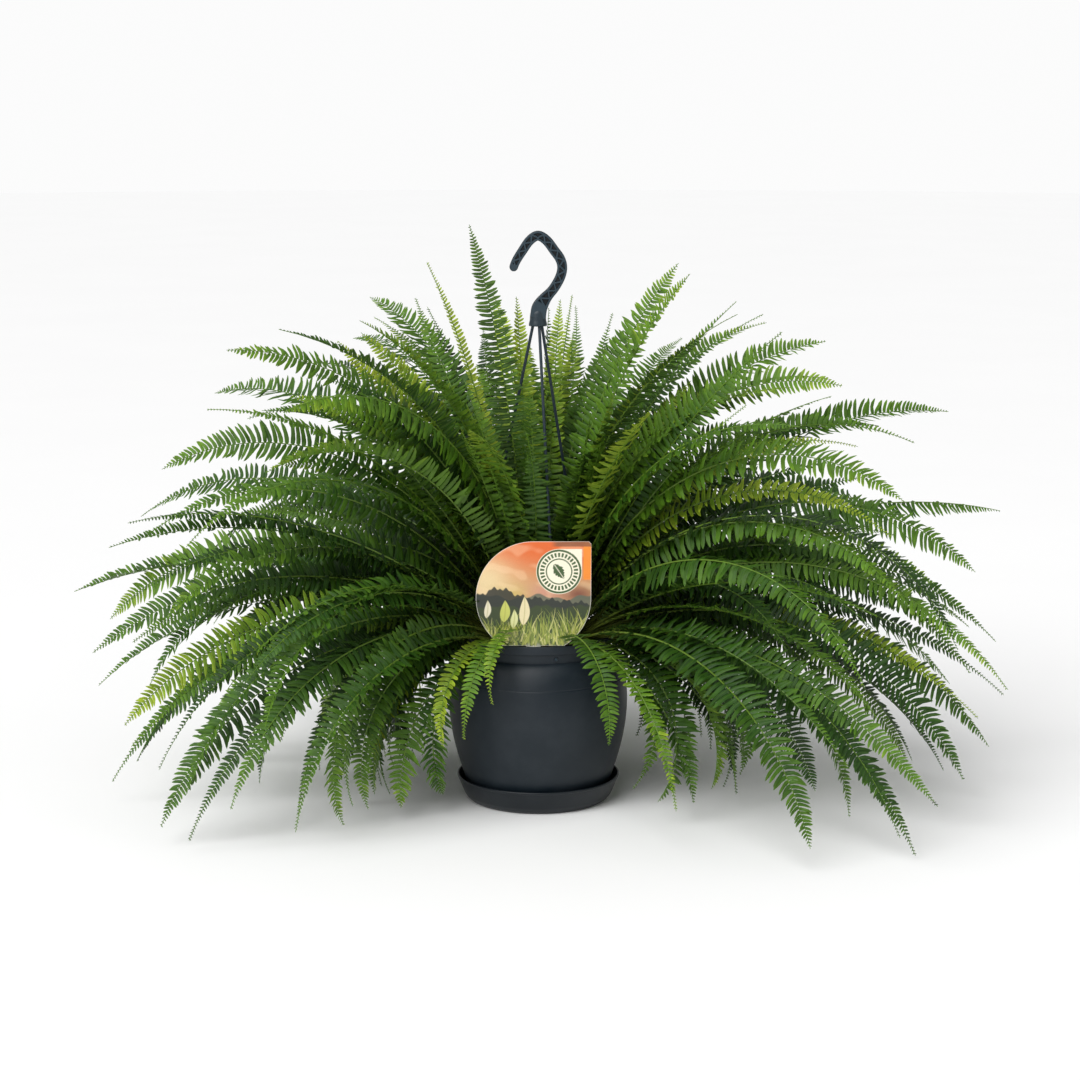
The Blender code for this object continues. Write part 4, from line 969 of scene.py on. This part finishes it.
def frond_surface(plan, leaf, colours, seed, inner=False):
    """One frond as arrays: a stalk tube and, on both its sides, leaflets whose middle lines curve towards
    the frond's tip. Each leaflet is a few stations of a four-cornered lens; its half-width is an oblong
    that narrows at both ends, is widest in an ear beside the stalk on the tip side, and steps in and out as
    blunt teeth. Returns points, faces, a colour and a place on the leaflet (millimetres along, -1 to 1
    across, a random share)."""
    azimuth, rise, tip, length, widest, roll, age = plan
    rng = np.random.default_rng(seed)
    sway = rng.normal(0.0, leaf.wander if inner else 0.018) * length
    fold = rng.normal(leaf.lift, 15.0)
    u, oblong = PLAIN_LEAFLET if inner else FINE_LEAFLET
    phase = rng.uniform(-0.6, 0.6)
    fill = rng.choice(BLADE_FILLS)
    if rise > UPRIGHT_RISE and not inner:
        fill = max(BLADE_FILLS)

    def carried(share):
        """Points along the swaying midrib, with the directions along it, to its side and above it."""
        points, along, level = frond_midrib(azimuth, rise, tip, length, share)
        swing = 1.6 * share + phase
        shift = sway * share**2 * np.cos(swing)
        slope = sway * (2 * share * np.cos(swing) - 1.6 * share**2 * np.sin(swing))
        points = points + shift[:, None] * level
        along = along + (slope / length)[:, None] * level
        along /= np.linalg.norm(along, axis=1)[:, None]
        turn = np.radians(roll) * np.clip(share / 0.4, 0, 1)
        turn = (turn + 0.10 * np.sin(9 * share + phase * 5))[:, None]
        beside = level - (along @ level)[:, None] * along
        beside /= np.linalg.norm(beside, axis=1)[:, None]
        side = beside * np.cos(turn) + np.cross(along, beside) * np.sin(turn)
        return points, along, side, np.cross(along, side)

    rounds, sides = (24, 4) if inner else (42, 6)
    share = np.linspace(0.0, 1.0, rounds)
    route, _, side, _ = carried(share)
    stalk, stalk_faces = tube_surface(route, STALK_RADIUS * (1 - 0.78 * share), sides, side)
    stops = zip(colours.stalk_base, colours.stalk, colours.leaf_fresh)
    stalk_colour = np.stack([np.interp(share, (0.0, 0.25, 1.0), stop) for stop in stops], axis=-1)
    surfaces = [(stalk, stalk_faces)]
    tones = [np.repeat(stalk_colour, sides, axis=0)]
    places = [np.zeros((len(stalk), 3))]

    # The leaflets' spacing follows the blade's width and closes up towards the tip.
    fine = np.linspace(0.0, 1.0, 300)
    pitch = leaf.pitch * (0.75 + 0.35 * widest / 0.024) * (1.12 - 0.58 * fine**3)
    passed = np.cumsum(np.diff(fine) * (length * (1 - BARE_STALK)) / pitch[1:])
    number = np.concatenate([[0.0], passed])
    count = int(number[-1])
    order = np.arange(count)
    stations = len(u)
    for hand in (-1.0, 1.0):
        blade = np.interp(order + 0.35 + 0.3 * (hand > 0), number, fine)
        share = BARE_STALK + (1 - BARE_STALK) * blade
        root, along, side, above = carried(share)
        gap = np.interp(blade, fine, pitch)
        blunt = 1 - 0.9 / fill * smoothstep((blade - 0.7) / 0.3)
        reach = leaf.gain * blade_half_width(share, widest, fill) * blunt
        reach = np.maximum(reach * rng.uniform(0.90, 1.05, count), SHORTEST_LEAFLET)
        wide = np.minimum(leaf.fullness * gap, 0.42 * reach) / 2 * rng.uniform(0.92, 1.08, count)
        sweep = np.radians(leaf.sweep + 18 * blade**2 + rng.normal(0, 4.0, count))
        curl = np.radians(leaf.curl + rng.normal(0, 6.5, count))
        droop = np.radians(-fold + rng.normal(0, 6.0, count) + 5 * np.sin(7 * blade + phase))
        twist = np.radians(rng.normal(0, 9.0, count) + 8) * hand
        out = hand * side * np.cos(droop)[:, None] - above * np.sin(droop)[:, None]
        over = above * np.cos(droop)[:, None] + hand * side * np.sin(droop)[:, None]
        heading = sweep[:, None] + curl[:, None] * u
        way = np.cos(heading)[..., None] * out[:, None] + np.sin(heading)[..., None] * along[:, None]
        step = np.diff(u)[None, :, None] * reach[:, None, None]
        middle = np.cumsum((way[:, 1:] + way[:, :-1]) / 2 * step, axis=1)
        middle = np.concatenate([np.zeros((count, 1, 3)), middle], axis=1) + root[:, None]
        middle[..., 2] -= (leaf.sag * reach[:, None]) * u**2
        ripple = rng.normal(0, 0.05, count)[:, None] * np.sin(5.5 * u + rng.uniform(0, 6, count)[:, None])
        middle = middle + over[:, None] * (ripple * reach[:, None])[..., None]
        wing = -np.sin(heading)[..., None] * out[:, None] + np.cos(heading)[..., None] * along[:, None]
        crown = np.broadcast_to(over[:, None], wing.shape)
        turn = (twist[:, None] * u)[..., None]
        wing, crown = wing * np.cos(turn) + crown * np.sin(turn), crown * np.cos(turn) - wing * np.sin(turn)
        teeth = 1 + leaf.teeth * (-1.0) ** np.arange(stations)
        upper = wide[:, None] * oblong * teeth * (1 + leaf.ear * np.exp(-((u / 0.16) ** 2)))
        lower = wide[:, None] * oblong * teeth * (1 - 0.12 * np.exp(-((u / 0.2) ** 2)))
        upper, lower = upper[..., None], lower[..., None]
        thick = leaf.thickness / 2 * (1 - 0.55 * u)[None, :, None]
        lens = [
            middle - wing * lower - crown * LEAFLET_CUP * lower,
            middle + crown * thick,
            middle + wing * upper - crown * LEAFLET_CUP * upper,
            middle - crown * thick,
        ]
        quads = leaflet_quads(count, stations)
        if hand < 0:
            quads = quads[:, ::-1]
        surfaces.append((np.stack(lens, axis=2).reshape(-1, 3), [quads]))
        # Leaflets are younger towards the frond's tip and their own, and paler beneath. Near the stalk's
        # foot, deep in the plant, they are darkened as painted shade.
        aged = age + 0.28 * blade**3 + rng.normal(0, 0.05, count) - 0.05
        aged = aged[:, None, None] + 0.14 * u[None, :, None] ** 2 + np.array([0.05, -0.04, 0.05, 0.08])
        tone = leaf_tone(np.clip(aged, 0, 1), colours)
        tone = tone * rng.uniform(0.86, 1.14, count)[:, None, None, None]
        # Painted shade: leaflets in the blade's first half are darkened, down to 0.42 at the stalk's foot.
        tone = tone * (0.42 + 0.62 * smoothstep(blade / 0.5))[:, None, None, None]
        pale = np.array([0.0, 0.0, 0.0, 1.0])[None, None, :, None] * 0.45
        tone = tone * (1 - pale) + np.array(colours.leaf_under) * pale
        tones.append(tone.reshape(-1, 3))
        where = np.zeros((count, stations, 4, 3))
        where[..., 0] = u[None, :, None] * reach[:, None, None] * 1000
        where[..., 1] = np.array([-1.0, 0.0, 1.0, 0.0])
        where[..., 2] = rng.uniform(0, 1, count)[:, None, None]
        places.append(where.reshape(-1, 3))
    points, faces = joined(surfaces)
    return points, faces, np.concatenate(tones), np.concatenate(places)


def leaf_material(colours):
    """Fern leaflets: thin leathery blades with a waxy skin. Their green is held on each point; slanting
    side veins about 1.1 mm apart, a pale middle vein and a fine mottle come from the place along and across
    each leaflet."""
    material, tree, shader = new_material("waxy fern leaflet")
    tone = add_node(tree, "Attribute", "Color", attribute_name="tone")
    spot = add_node(tree, "Attribute", "Vector", attribute_name="leaf_place")
    parts = add_node(tree, "SeparateXYZ", inputs={"Vector": spot}).outputs
    aside = add_node(tree, "Math", "Value", {0: parts["Y"]}, operation="ABSOLUTE")
    slant = add_node(tree, "Math", "Value", {0: aside, 1: -5.0, 2: 0.0}, operation="MULTIPLY_ADD")
    stripes = {0: parts["X"], 1: 2 * math.pi / VEIN_STEP, 2: slant}
    phase = add_node(tree, "Math", "Value", stripes, operation="MULTIPLY_ADD")
    veins = add_node(tree, "Math", "Value", {0: phase}, operation="SINE")
    place = add_node(tree, "TexCoord", "Object")
    speckle = {"Vector": place, "Scale": 140.0, "Detail": 4.0, "Roughness": 0.6}
    mottle = add_node(tree, "TexNoise", "Fac", speckle)
    uneven = {"Value": mottle, "From Min": 0.3, "From Max": 0.7, "To Min": 0.78, "To Max": 1.22}
    wash = add_node(tree, "MapRange", "Result", uneven)
    striped = add_node(tree, "Math", "Value", {0: veins, 1: 0.07, 2: wash}, operation="MULTIPLY_ADD")
    shaded = add_node(tree, "VectorMath", "Vector", {0: tone, "Scale": striped}, operation="SCALE")
    narrow = {"Value": aside, "From Min": 0.0, "From Max": 0.16, "To Min": 0.4, "To Max": 0.0}
    rib = add_node(tree, "MapRange", "Result", narrow)
    pale = {"Factor": rib, "A": shaded, "B": rgba(colours.leaf_vein)}
    ribbed = add_node(tree, "Mix", "Result", pale, data_type="RGBA")
    height = add_node(tree, "Math", "Value", {0: veins, 1: 0.35, 2: mottle}, operation="MULTIPLY_ADD")
    relief = add_node(tree, "Bump", "Normal", {"Height": height, "Strength": 0.5, "Distance": 0.0004})
    feed(tree, shader, {"Base Color": ribbed, "Normal": relief, "Roughness": 0.42})
    feed(tree, shader, {"IOR": 1.45, "Specular IOR Level": 0.35})
    return material


def add_frond_piece(name, parts, colours):
    """One piece from one or more frond surfaces, kept just inside the frame's box. The leaflet material is
    made once and shared by all of them."""
    points, faces = joined([(part[0], part[1]) for part in parts])
    low, high = (np.array(corner) for corner in CAD_BOX)
    points = np.clip(points, low + BOX_MARGIN, high - BOX_MARGIN)
    tone = np.concatenate([part[2] for part in parts])
    tone = np.concatenate([tone, np.ones((len(tone), 1))], axis=1)
    place = np.concatenate([part[3] for part in parts])
    attributes = [("tone", "FLOAT_COLOR", tone), ("leaf_place", "FLOAT_VECTOR", place)]
    leaflet = bpy.data.materials.get("waxy fern leaflet") or leaf_material(colours)
    return add_piece(name, points, faces, leaflet, 60.0, attributes)


def build_fronds(leaf, colours):
    """The fronds of the table, each in the place of its own frond of the frame."""
    for index, plan in enumerate(FRONDS, start=1):
        surface = frond_surface(plan, leaf, colours, FROND_SEED + index)
        piece = add_frond_piece(f"fern_frond_{index:02d}", [surface], colours)
        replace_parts(piece, f"frond_{index:02d}")


def inner_plans(leaf):
    """Seeded plans for the shorter fronds that fill the plant, in five zones: a skirt that hangs round the
    pot, an outer rim, a middle, a crown and a few upright ones in front. The golden angle spreads each zone
    round the pot within its range of degrees from the label's direction. All stay inside the frame's box,
    steep ones keep off the hanger rods, and low ones keep off the label."""
    rng = np.random.default_rng(leaf.seed)
    low, high = (np.array(corner) for corner in CAD_BOX)
    high[2] = CROWN_TOP
    plans = list(DRAPED_FRONDS)
    for count, rises, tips, lengths, (nearest, farthest), freshness in (
        (leaf.skirt_count, (0, 36), (-130, -76), (0.22, 0.46), (22, 180), 0.30),
        (leaf.outer_count, (18, 58), (-74, -40), (0.38, 0.50), (48, 180), 0.30),
        (leaf.middle_count, (34, 66), (-70, 10), (0.28, 0.44), (34, 180), 0.34),
        (leaf.crown_count, (60, 84), (-25, 55), (0.26, 0.42), (50, 180), 0.40),
        (leaf.front_count, (76, 87), (40, 78), (0.18, 0.28), (0, 55), 0.48),
    ):
        made = 0
        turn = rng.uniform(0, 360)
        while made < count:
            turn += GOLDEN_ANGLE
            azimuth = (turn + rng.normal(0, 5)) % 360
            rise = rng.uniform(*rises)
            tip = rng.uniform(*tips)
            length = rng.uniform(*lengths) * leaf.inner_length
            wide = rng.uniform(0.014, 0.022)
            age = float(np.clip(rng.normal(freshness, 0.22), 0.0, 0.8))
            roll = -math.degrees(math.cos(math.radians(azimuth))) * -0.55 + rng.normal(0, 26)
            by_rod = min(abs((azimuth - rod + 180) % 360 - 180) for rod in ROD_AZIMUTHS)
            from_label = abs((azimuth - 270 + 180) % 360 - 180)
            if not nearest <= from_label <= farthest or (rise > STEEP_RISE and by_rod < ROD_CLEARANCE):
                continue
            for _ in range(14):
                points, _, _ = frond_midrib(azimuth, rise, tip, length, np.linspace(0, 1, 24))
                room = np.array([wide, wide, wide * 0.6]) * leaf.gain
                if (points - room > low).all() and (points + room < high).all():
                    break
                length *= 0.94
            x, y, z = points.T
            over_label = (np.abs(x) < LABEL_RADIUS + wide / 2) & (y < -0.05) & (z < LABEL_HIGH.z + wide)
            if (over_label & (z > LABEL_LOW.z + 0.035)).any():
                continue
            plans.append((azimuth, rise, tip, length, wide, roll, age))
            made += 1
    return plans


def build_inner_fronds(leaf, colours):
    """The filling fronds, joined in groups so that each piece stays small enough to export whole."""
    plans = enumerate(inner_plans(leaf))
    parts = [frond_surface(plan, leaf, colours, INNER_SEED + index, True) for index, plan in plans]
    for start in range(0, len(parts), FROND_GROUP):
        name = f"inner_fronds_{start // FROND_GROUP + 1:02d}"
        add_frond_piece(name, parts[start : start + FROND_GROUP], colours)


# ---------------------------------------------------------------- stage
def add_to_scene(name, data):
    """A new object in the scene's own collection."""
    added = bpy.data.objects.new(name, data)
    bpy.context.scene.collection.objects.link(added)
    return added


def build_stage(studio):
    """A round white floor under the saucer, a white room, a broad key light with two softboxes, and the
    camera."""
    floor_material, tree, shader = new_material("matt white studio floor")
    place = add_node(tree, "TexCoord", "Object")
    cloud = add_node(tree, "TexNoise", "Fac", {"Vector": place, "Scale": 3.0, "Detail": 3.0})
    whites = {"Factor": cloud, "A": rgba(linear("#ffffff")), "B": rgba(linear("#fcfcfc"))}
    tint = add_node(tree, "Mix", "Result", whites, data_type="RGBA")
    feed(tree, shader, {"Base Color": tint, "Roughness": 0.9})
    angle = np.linspace(0, 2 * math.pi, 96, endpoint=False)
    ring = np.stack([np.cos(angle), np.sin(angle), np.zeros(96)], axis=1) * studio.floor_radius
    mesh = bpy.data.meshes.new("studio_floor")
    mesh.from_pydata((ring + [0, 0, SAUCER_BASE_Z - FLOOR_GAP]).tolist(), [], [list(range(96))])
    mesh.materials.append(floor_material)
    add_to_scene("studio_floor", mesh)

    # The room lights the fern at its ambient strength, and is itself seen as plain white.
    world = bpy.data.worlds.new("white studio")
    world.use_nodes = True
    tree = world.node_tree
    seen = add_node(tree, "LightPath", "Is Camera Ray")
    levels = {"Value": seen, "To Min": studio.ambient, "To Max": studio.backdrop}
    strength = add_node(tree, "MapRange", "Result", levels)
    feed(tree, tree.nodes["Background"], {"Color": rgba(studio.ambient_colour), "Strength": strength})
    bpy.context.scene.world = world
    for name, kind, place, size, power in (
        ("key light", "SUN", (-1.5, -2.1, 2.4), math.radians(50), studio.key),
        ("left softbox", "AREA", (-2.2, -1.6, 0.6), 1.6, studio.left),
        ("right softbox", "AREA", (2.3, -1.5, 0.5), 1.6, studio.right),
    ):
        lamp = bpy.data.lights.new(name, kind)
        lamp.energy = power
        setattr(lamp, "angle" if kind == "SUN" else "size", size)
        light = add_to_scene(name, lamp)
        aim = np.array(LIGHTS_AIM) - np.array(place)
        flat = math.hypot(aim[0], aim[1])
        light.location = place
        light.rotation_euler = (math.atan2(flat, -aim[2]), 0.0, math.atan2(-aim[0], aim[1]))

    lens = bpy.data.cameras.new("studio camera")
    lens.sensor_width = 36.0
    lens.lens = studio.lens
    lens.clip_end = 50.0
    camera = add_to_scene("studio camera", lens)
    camera.location = (0.002, -studio.distance, studio.camera_height)
    camera.rotation_euler = (math.pi / 2 - studio.pitch, 0.0, 0.0)
    bpy.context.scene.camera = camera
    bpy.context.scene.view_settings.view_transform = "Standard"


# ---------------------------------------------------------------- settings
def number_setting(name, description, default, **more):
    """A plain number, or with more keywords one with a unit or subtype."""
    return bpy.props.FloatProperty(name=name, description=description, default=default, **more)


def size_setting(name, description, default):
    """A length in metres."""
    return number_setting(name, description, default, unit="LENGTH", precision=4)


def count_setting(name, description, default):
    """A whole number."""
    return bpy.props.IntProperty(name=name, description=description, default=default)


def colour_setting(name, description, code):
    """A colour, given as its sRGB hex code."""
    words = {"name": name, "description": description, "default": linear(code)}
    return bpy.props.FloatVectorProperty(**words, subtype="COLOR", size=3, min=0.0, max=1.0)


class FERN_PG_pot(bpy.types.PropertyGroup):
    """Sizes of the pot, the saucer and the hanger"""

    pot_height: size_setting("Pot height", "Foot to rim", RIM_Z - POT_BASE_Z)
    foot_radius: size_setting("Foot radius", "Where the pot stands in its saucer", 0.0670)
    foot_round: size_setting("Foot rounding", "Radius of the pot's lower edge", 0.0030)
    widest_radius: size_setting("Widest radius", "At the bulge", 0.0900)
    widest_height: size_setting("Height of the bulge", "Above the foot", 0.1000)
    neck_radius: size_setting("Neck radius", "Under the lip", 0.0735)
    neck_height: size_setting("Neck height", "From the shoulder to the lip", 0.0090)
    lip_height: size_setting("Lip height", "Of the band round the rim", 0.0085)
    lip_step: size_setting("Lip step", "How far the lip stands out from the neck", 0.0018)
    wall: size_setting("Wall", "Thickness of the pot's wall", 0.0018)
    seam_height: size_setting("Seam height", "Of the mould seam above the foot", 0.1260)
    seam_depth: size_setting("Seam depth", "Of the mould seam", 0.0003)
    saucer_foot: size_setting("Saucer foot", "Radius where the saucer's wall starts", 0.0710)
    saucer_rim: size_setting("Saucer rim", "Outer radius of the saucer's lip", 0.0820)
    hook_width: size_setting("Hook width", "Of the bar seen from the front", 0.0098)
    hook_depth: size_setting("Hook depth", "Of the bar seen from the side", 0.0070)
    hook_taper: number_setting("Hook taper", "Width lost at the free end", 0.15)
    hook_rib: size_setting("Hook rib", "Width of the ribs round the pockets", 0.0021)
    hook_pocket: size_setting("Pocket depth", "Of the pockets between the ribs", 0.0018)
    hook_truss: size_setting("Truss step", "Length of one full zigzag of the rib", 0.0098)
    skirt_radius: size_setting("Skirt radius", "Lower edge of the hook's skirt", 0.0090)
    rod_radius: size_setting("Rod radius", "Of the three hanger rods", 0.0015)


class FERN_PG_leaf(bpy.types.PropertyGroup):
    """Shape and number of the leaflets and fronds"""

    gain: number_setting("Blade width", "Over that of the frame's frond", 1.25)
    pitch: size_setting("Leaflet pitch", "Between neighbours on one side of a frond", 0.0053)
    fullness: number_setting("Fullness", "Leaflet width over its pitch", 0.77)
    thickness: size_setting("Leaflet thickness", "At the middle vein", 0.0005)
    sweep: number_setting("Sweep", "Degrees that leaflets lean to the tip", 4.0)
    curl: number_setting("Curl", "Degrees that a leaflet curves to the tip", 17.0)
    lift: number_setting("Lift", "Degrees that leaflets rise from the blade", 8.0)
    sag: number_setting("Sag", "Share of a leaflet's length its tip hangs", 0.08)
    teeth: number_setting("Teeth", "Depth of the blunt teeth", 0.05)
    ear: number_setting("Ear", "Extra width beside the stalk", 0.45)
    skirt_count: count_setting("Skirt fronds", "Short ones round the pot", 84)
    outer_count: count_setting("Outer fronds", "Long ones that fill the rim", 46)
    middle_count: count_setting("Middle fronds", "That fill the middle", 56)
    crown_count: count_setting("Crown fronds", "That fill the crown", 58)
    front_count: count_setting("Front fronds", "Upright, by the front rod", 14)
    wander: number_setting("Wander", "Sideways sway over length", 0.09)
    inner_length: number_setting("Inner length", "Scale of their length", 1.0)
    seed: count_setting("Seed", "Of the inner fronds", 7)


class FERN_PG_colours(bpy.types.PropertyGroup):
    """Colours of every finish"""

    pot: colour_setting("Pot", "Anthracite body", "#101b23")
    saucer: colour_setting("Saucer", "Anthracite body", "#0d151b")
    hook: colour_setting("Hook", "Charcoal blue body", "#212e36")
    # Painted light on the hook bar: the rib colour is a painted highlight on the ribs' faces; the pocket
    # colour is the bar's body colour, painted shade in the pockets and on its sides.
    hook_rib: colour_setting("Hook ribs", "Painted highlight on the hook's rib faces", "#2b3a43")
    hook_pocket: colour_setting("Hook pockets", "Floors of the hook's pockets", "#0c1216")
    rod: colour_setting("Rods", "Charcoal blue rods", "#26333c")
    peat: colour_setting("Peat", "Moist peat", "#1c130c")
    rhizome: colour_setting("Rhizome", "Old stalk bases", "#3d2817")
    leaf_old: colour_setting("Old leaf", "Oldest fronds", "#122b09")
    leaf_mature: colour_setting("Mature leaf", "Most fronds", "#25490b")
    leaf_fresh: colour_setting("Fresh leaf", "Tips and younger fronds", "#567c16")
    leaf_young: colour_setting("Young leaf", "Newest growth", "#9fb230")
    leaf_under: colour_setting("Leaf underside", "Paler, greyer underside", "#586c38")
    leaf_vein: colour_setting("Leaf vein", "Middle vein", "#5f7f28")
    stalk: colour_setting("Stalk", "Middle of a frond's stalk", "#586a26")
    stalk_base: colour_setting("Stalk base", "Foot of a frond's stalk", "#5a4422")
    sky_high: colour_setting("Label sky", "Top of the printed sky", "#dc6420")
    sky_low: colour_setting("Label horizon", "Foot of the printed sky", "#c99a68")
    hills: colour_setting("Label hills", "Printed hills", "#1d241c")
    badge: colour_setting("Label badge", "Ground of the round badge", "#f3ecd4")
    ink: colour_setting("Label ink", "Rings and leaf of the badge", "#3a5527")


class FERN_PG_studio(bpy.types.PropertyGroup):
    """Camera and lights"""

    lens: number_setting("Lens", "Focal length in millimetres", 88.17)
    distance: size_setting("Distance", "Camera to the pot's axis", 2.6)
    camera_height: size_setting("Camera height", "Above the hook's crook", 0.182)
    pitch: number_setting("Pitch", "How far the camera looks down", math.radians(10.46), subtype="ANGLE")
    ambient: number_setting("Ambient", "Light from the white room", 0.42)
    backdrop: number_setting("Backdrop", "Brightness of the room as seen", 0.97)
    ambient_colour: colour_setting("Ambient colour", "Colour of the room's light", "#ffffff")
    key: number_setting("Key", "Broad light from the front left", 2.5)
    left: number_setting("Left", "Left softbox", 12.0, subtype="POWER")
    right: number_setting("Right", "Right softbox", 8.0, subtype="POWER")
    floor_radius: size_setting("Floor radius", "Of the round studio floor", 12.0)


# ---------------------------------------------------------------- operators
class FERN_OT_pot(bpy.types.Operator):
    """Build the moulded pot with its lip, seam, hanger holes and drain holes"""

    bl_idname = "fern.pot"
    bl_label = "Pot"

    def execute(self, context):
        build_pot(context.scene.fern_pot, context.scene.fern_colours)
        return {"FINISHED"}


class FERN_OT_saucer(bpy.types.Operator):
    """Build the clip-on saucer"""

    bl_idname = "fern.saucer"
    bl_label = "Saucer"

    def execute(self, context):
        build_saucer(context.scene.fern_pot, context.scene.fern_colours)
        return {"FINISHED"}


class FERN_OT_peat(bpy.types.Operator):
    """Build the crumbly top of the potting soil"""

    bl_idname = "fern.peat"
    bl_label = "Potting soil"

    def execute(self, context):
        build_peat(context.scene.fern_pot, context.scene.fern_colours)
        return {"FINISHED"}


class FERN_OT_rhizome(bpy.types.Operator):
    """Build the rootstock with its old stalk bases"""

    bl_idname = "fern.rhizome"
    bl_label = "Rootstock"

    def execute(self, context):
        build_rhizome(context.scene.fern_colours)
        return {"FINISHED"}


class FERN_OT_hook(bpy.types.Operator):
    """Build the ribbed hook and its skirt"""

    bl_idname = "fern.hook"
    bl_label = "Hook"

    def execute(self, context):
        build_hook(context.scene.fern_pot, context.scene.fern_colours)
        return {"FINISHED"}


class FERN_OT_rods(bpy.types.Operator):
    """Build the three hanger rods"""

    bl_idname = "fern.rods"
    bl_label = "Hanger rods"

    def execute(self, context):
        build_rods(context.scene.fern_pot, context.scene.fern_colours)
        return {"FINISHED"}


class FERN_OT_label(bpy.types.Operator):
    """Build the printed plant label"""

    bl_idname = "fern.label"
    bl_label = "Plant label"

    def execute(self, context):
        build_label(context.scene.fern_colours)
        return {"FINISHED"}


class FERN_OT_fronds(bpy.types.Operator):
    """Build the fronds that stand for the frame's fronds, one for one"""

    bl_idname = "fern.fronds"
    bl_label = "Fronds"

    def execute(self, context):
        build_fronds(context.scene.fern_leaf, context.scene.fern_colours)
        return {"FINISHED"}


class FERN_OT_inner_fronds(bpy.types.Operator):
    """Build the shorter fronds that fill the plant, in joined groups"""

    bl_idname = "fern.inner_fronds"
    bl_label = "Inner fronds"

    def execute(self, context):
        build_inner_fronds(context.scene.fern_leaf, context.scene.fern_colours)
        return {"FINISHED"}


class FERN_OT_stage(bpy.types.Operator):
    """Set the floor, the white room, the softboxes and the camera"""

    bl_idname = "fern.stage"
    bl_label = "Stage"

    def execute(self, context):
        build_stage(context.scene.fern_studio)
        return {"FINISHED"}


OPERATORS = (
    FERN_OT_pot,
    FERN_OT_saucer,
    FERN_OT_peat,
    FERN_OT_rhizome,
    FERN_OT_hook,
    FERN_OT_rods,
    FERN_OT_label,
    FERN_OT_fronds,
    FERN_OT_inner_fronds,
    FERN_OT_stage,
)
SETTINGS = {
    "fern_pot": FERN_PG_pot,
    "fern_leaf": FERN_PG_leaf,
    "fern_colours": FERN_PG_colours,
    "fern_studio": FERN_PG_studio,
}


class FERN_PT_panel(bpy.types.Panel):
    """Operators and settings of the fern"""

    bl_label = "Hanging fern"
    bl_idname = "FERN_PT_panel"
    bl_space_type = "VIEW_3D"
    bl_region_type = "UI"
    bl_category = "Fern"

    def draw(self, context):
        for operator in OPERATORS:
            self.layout.operator(operator.bl_idname)
        for title, group in SETTINGS.items():
            box = self.layout.box()
            for name in group.__annotations__:
                box.prop(getattr(context.scene, title), name)


def register():
    for kind in (*SETTINGS.values(), *OPERATORS, FERN_PT_panel):
        bpy.utils.register_class(kind)
    for title, group in SETTINGS.items():
        setattr(bpy.types.Scene, title, bpy.props.PointerProperty(type=group))


def unregister():
    for title in SETTINGS:
        delattr(bpy.types.Scene, title)
    for kind in (FERN_PT_panel, *reversed(OPERATORS), *SETTINGS.values()):
        bpy.utils.unregister_class(kind)


def main():
    register()
    bpy.ops.fern.pot()
    bpy.ops.fern.saucer()
    bpy.ops.fern.peat()
    bpy.ops.fern.rhizome()
    bpy.ops.fern.hook()
    bpy.ops.fern.rods()
    bpy.ops.fern.label()
    bpy.ops.fern.fronds()
    bpy.ops.fern.inner_fronds()
    bpy.ops.fern.stage()


if __name__ == "__main__":
    main()
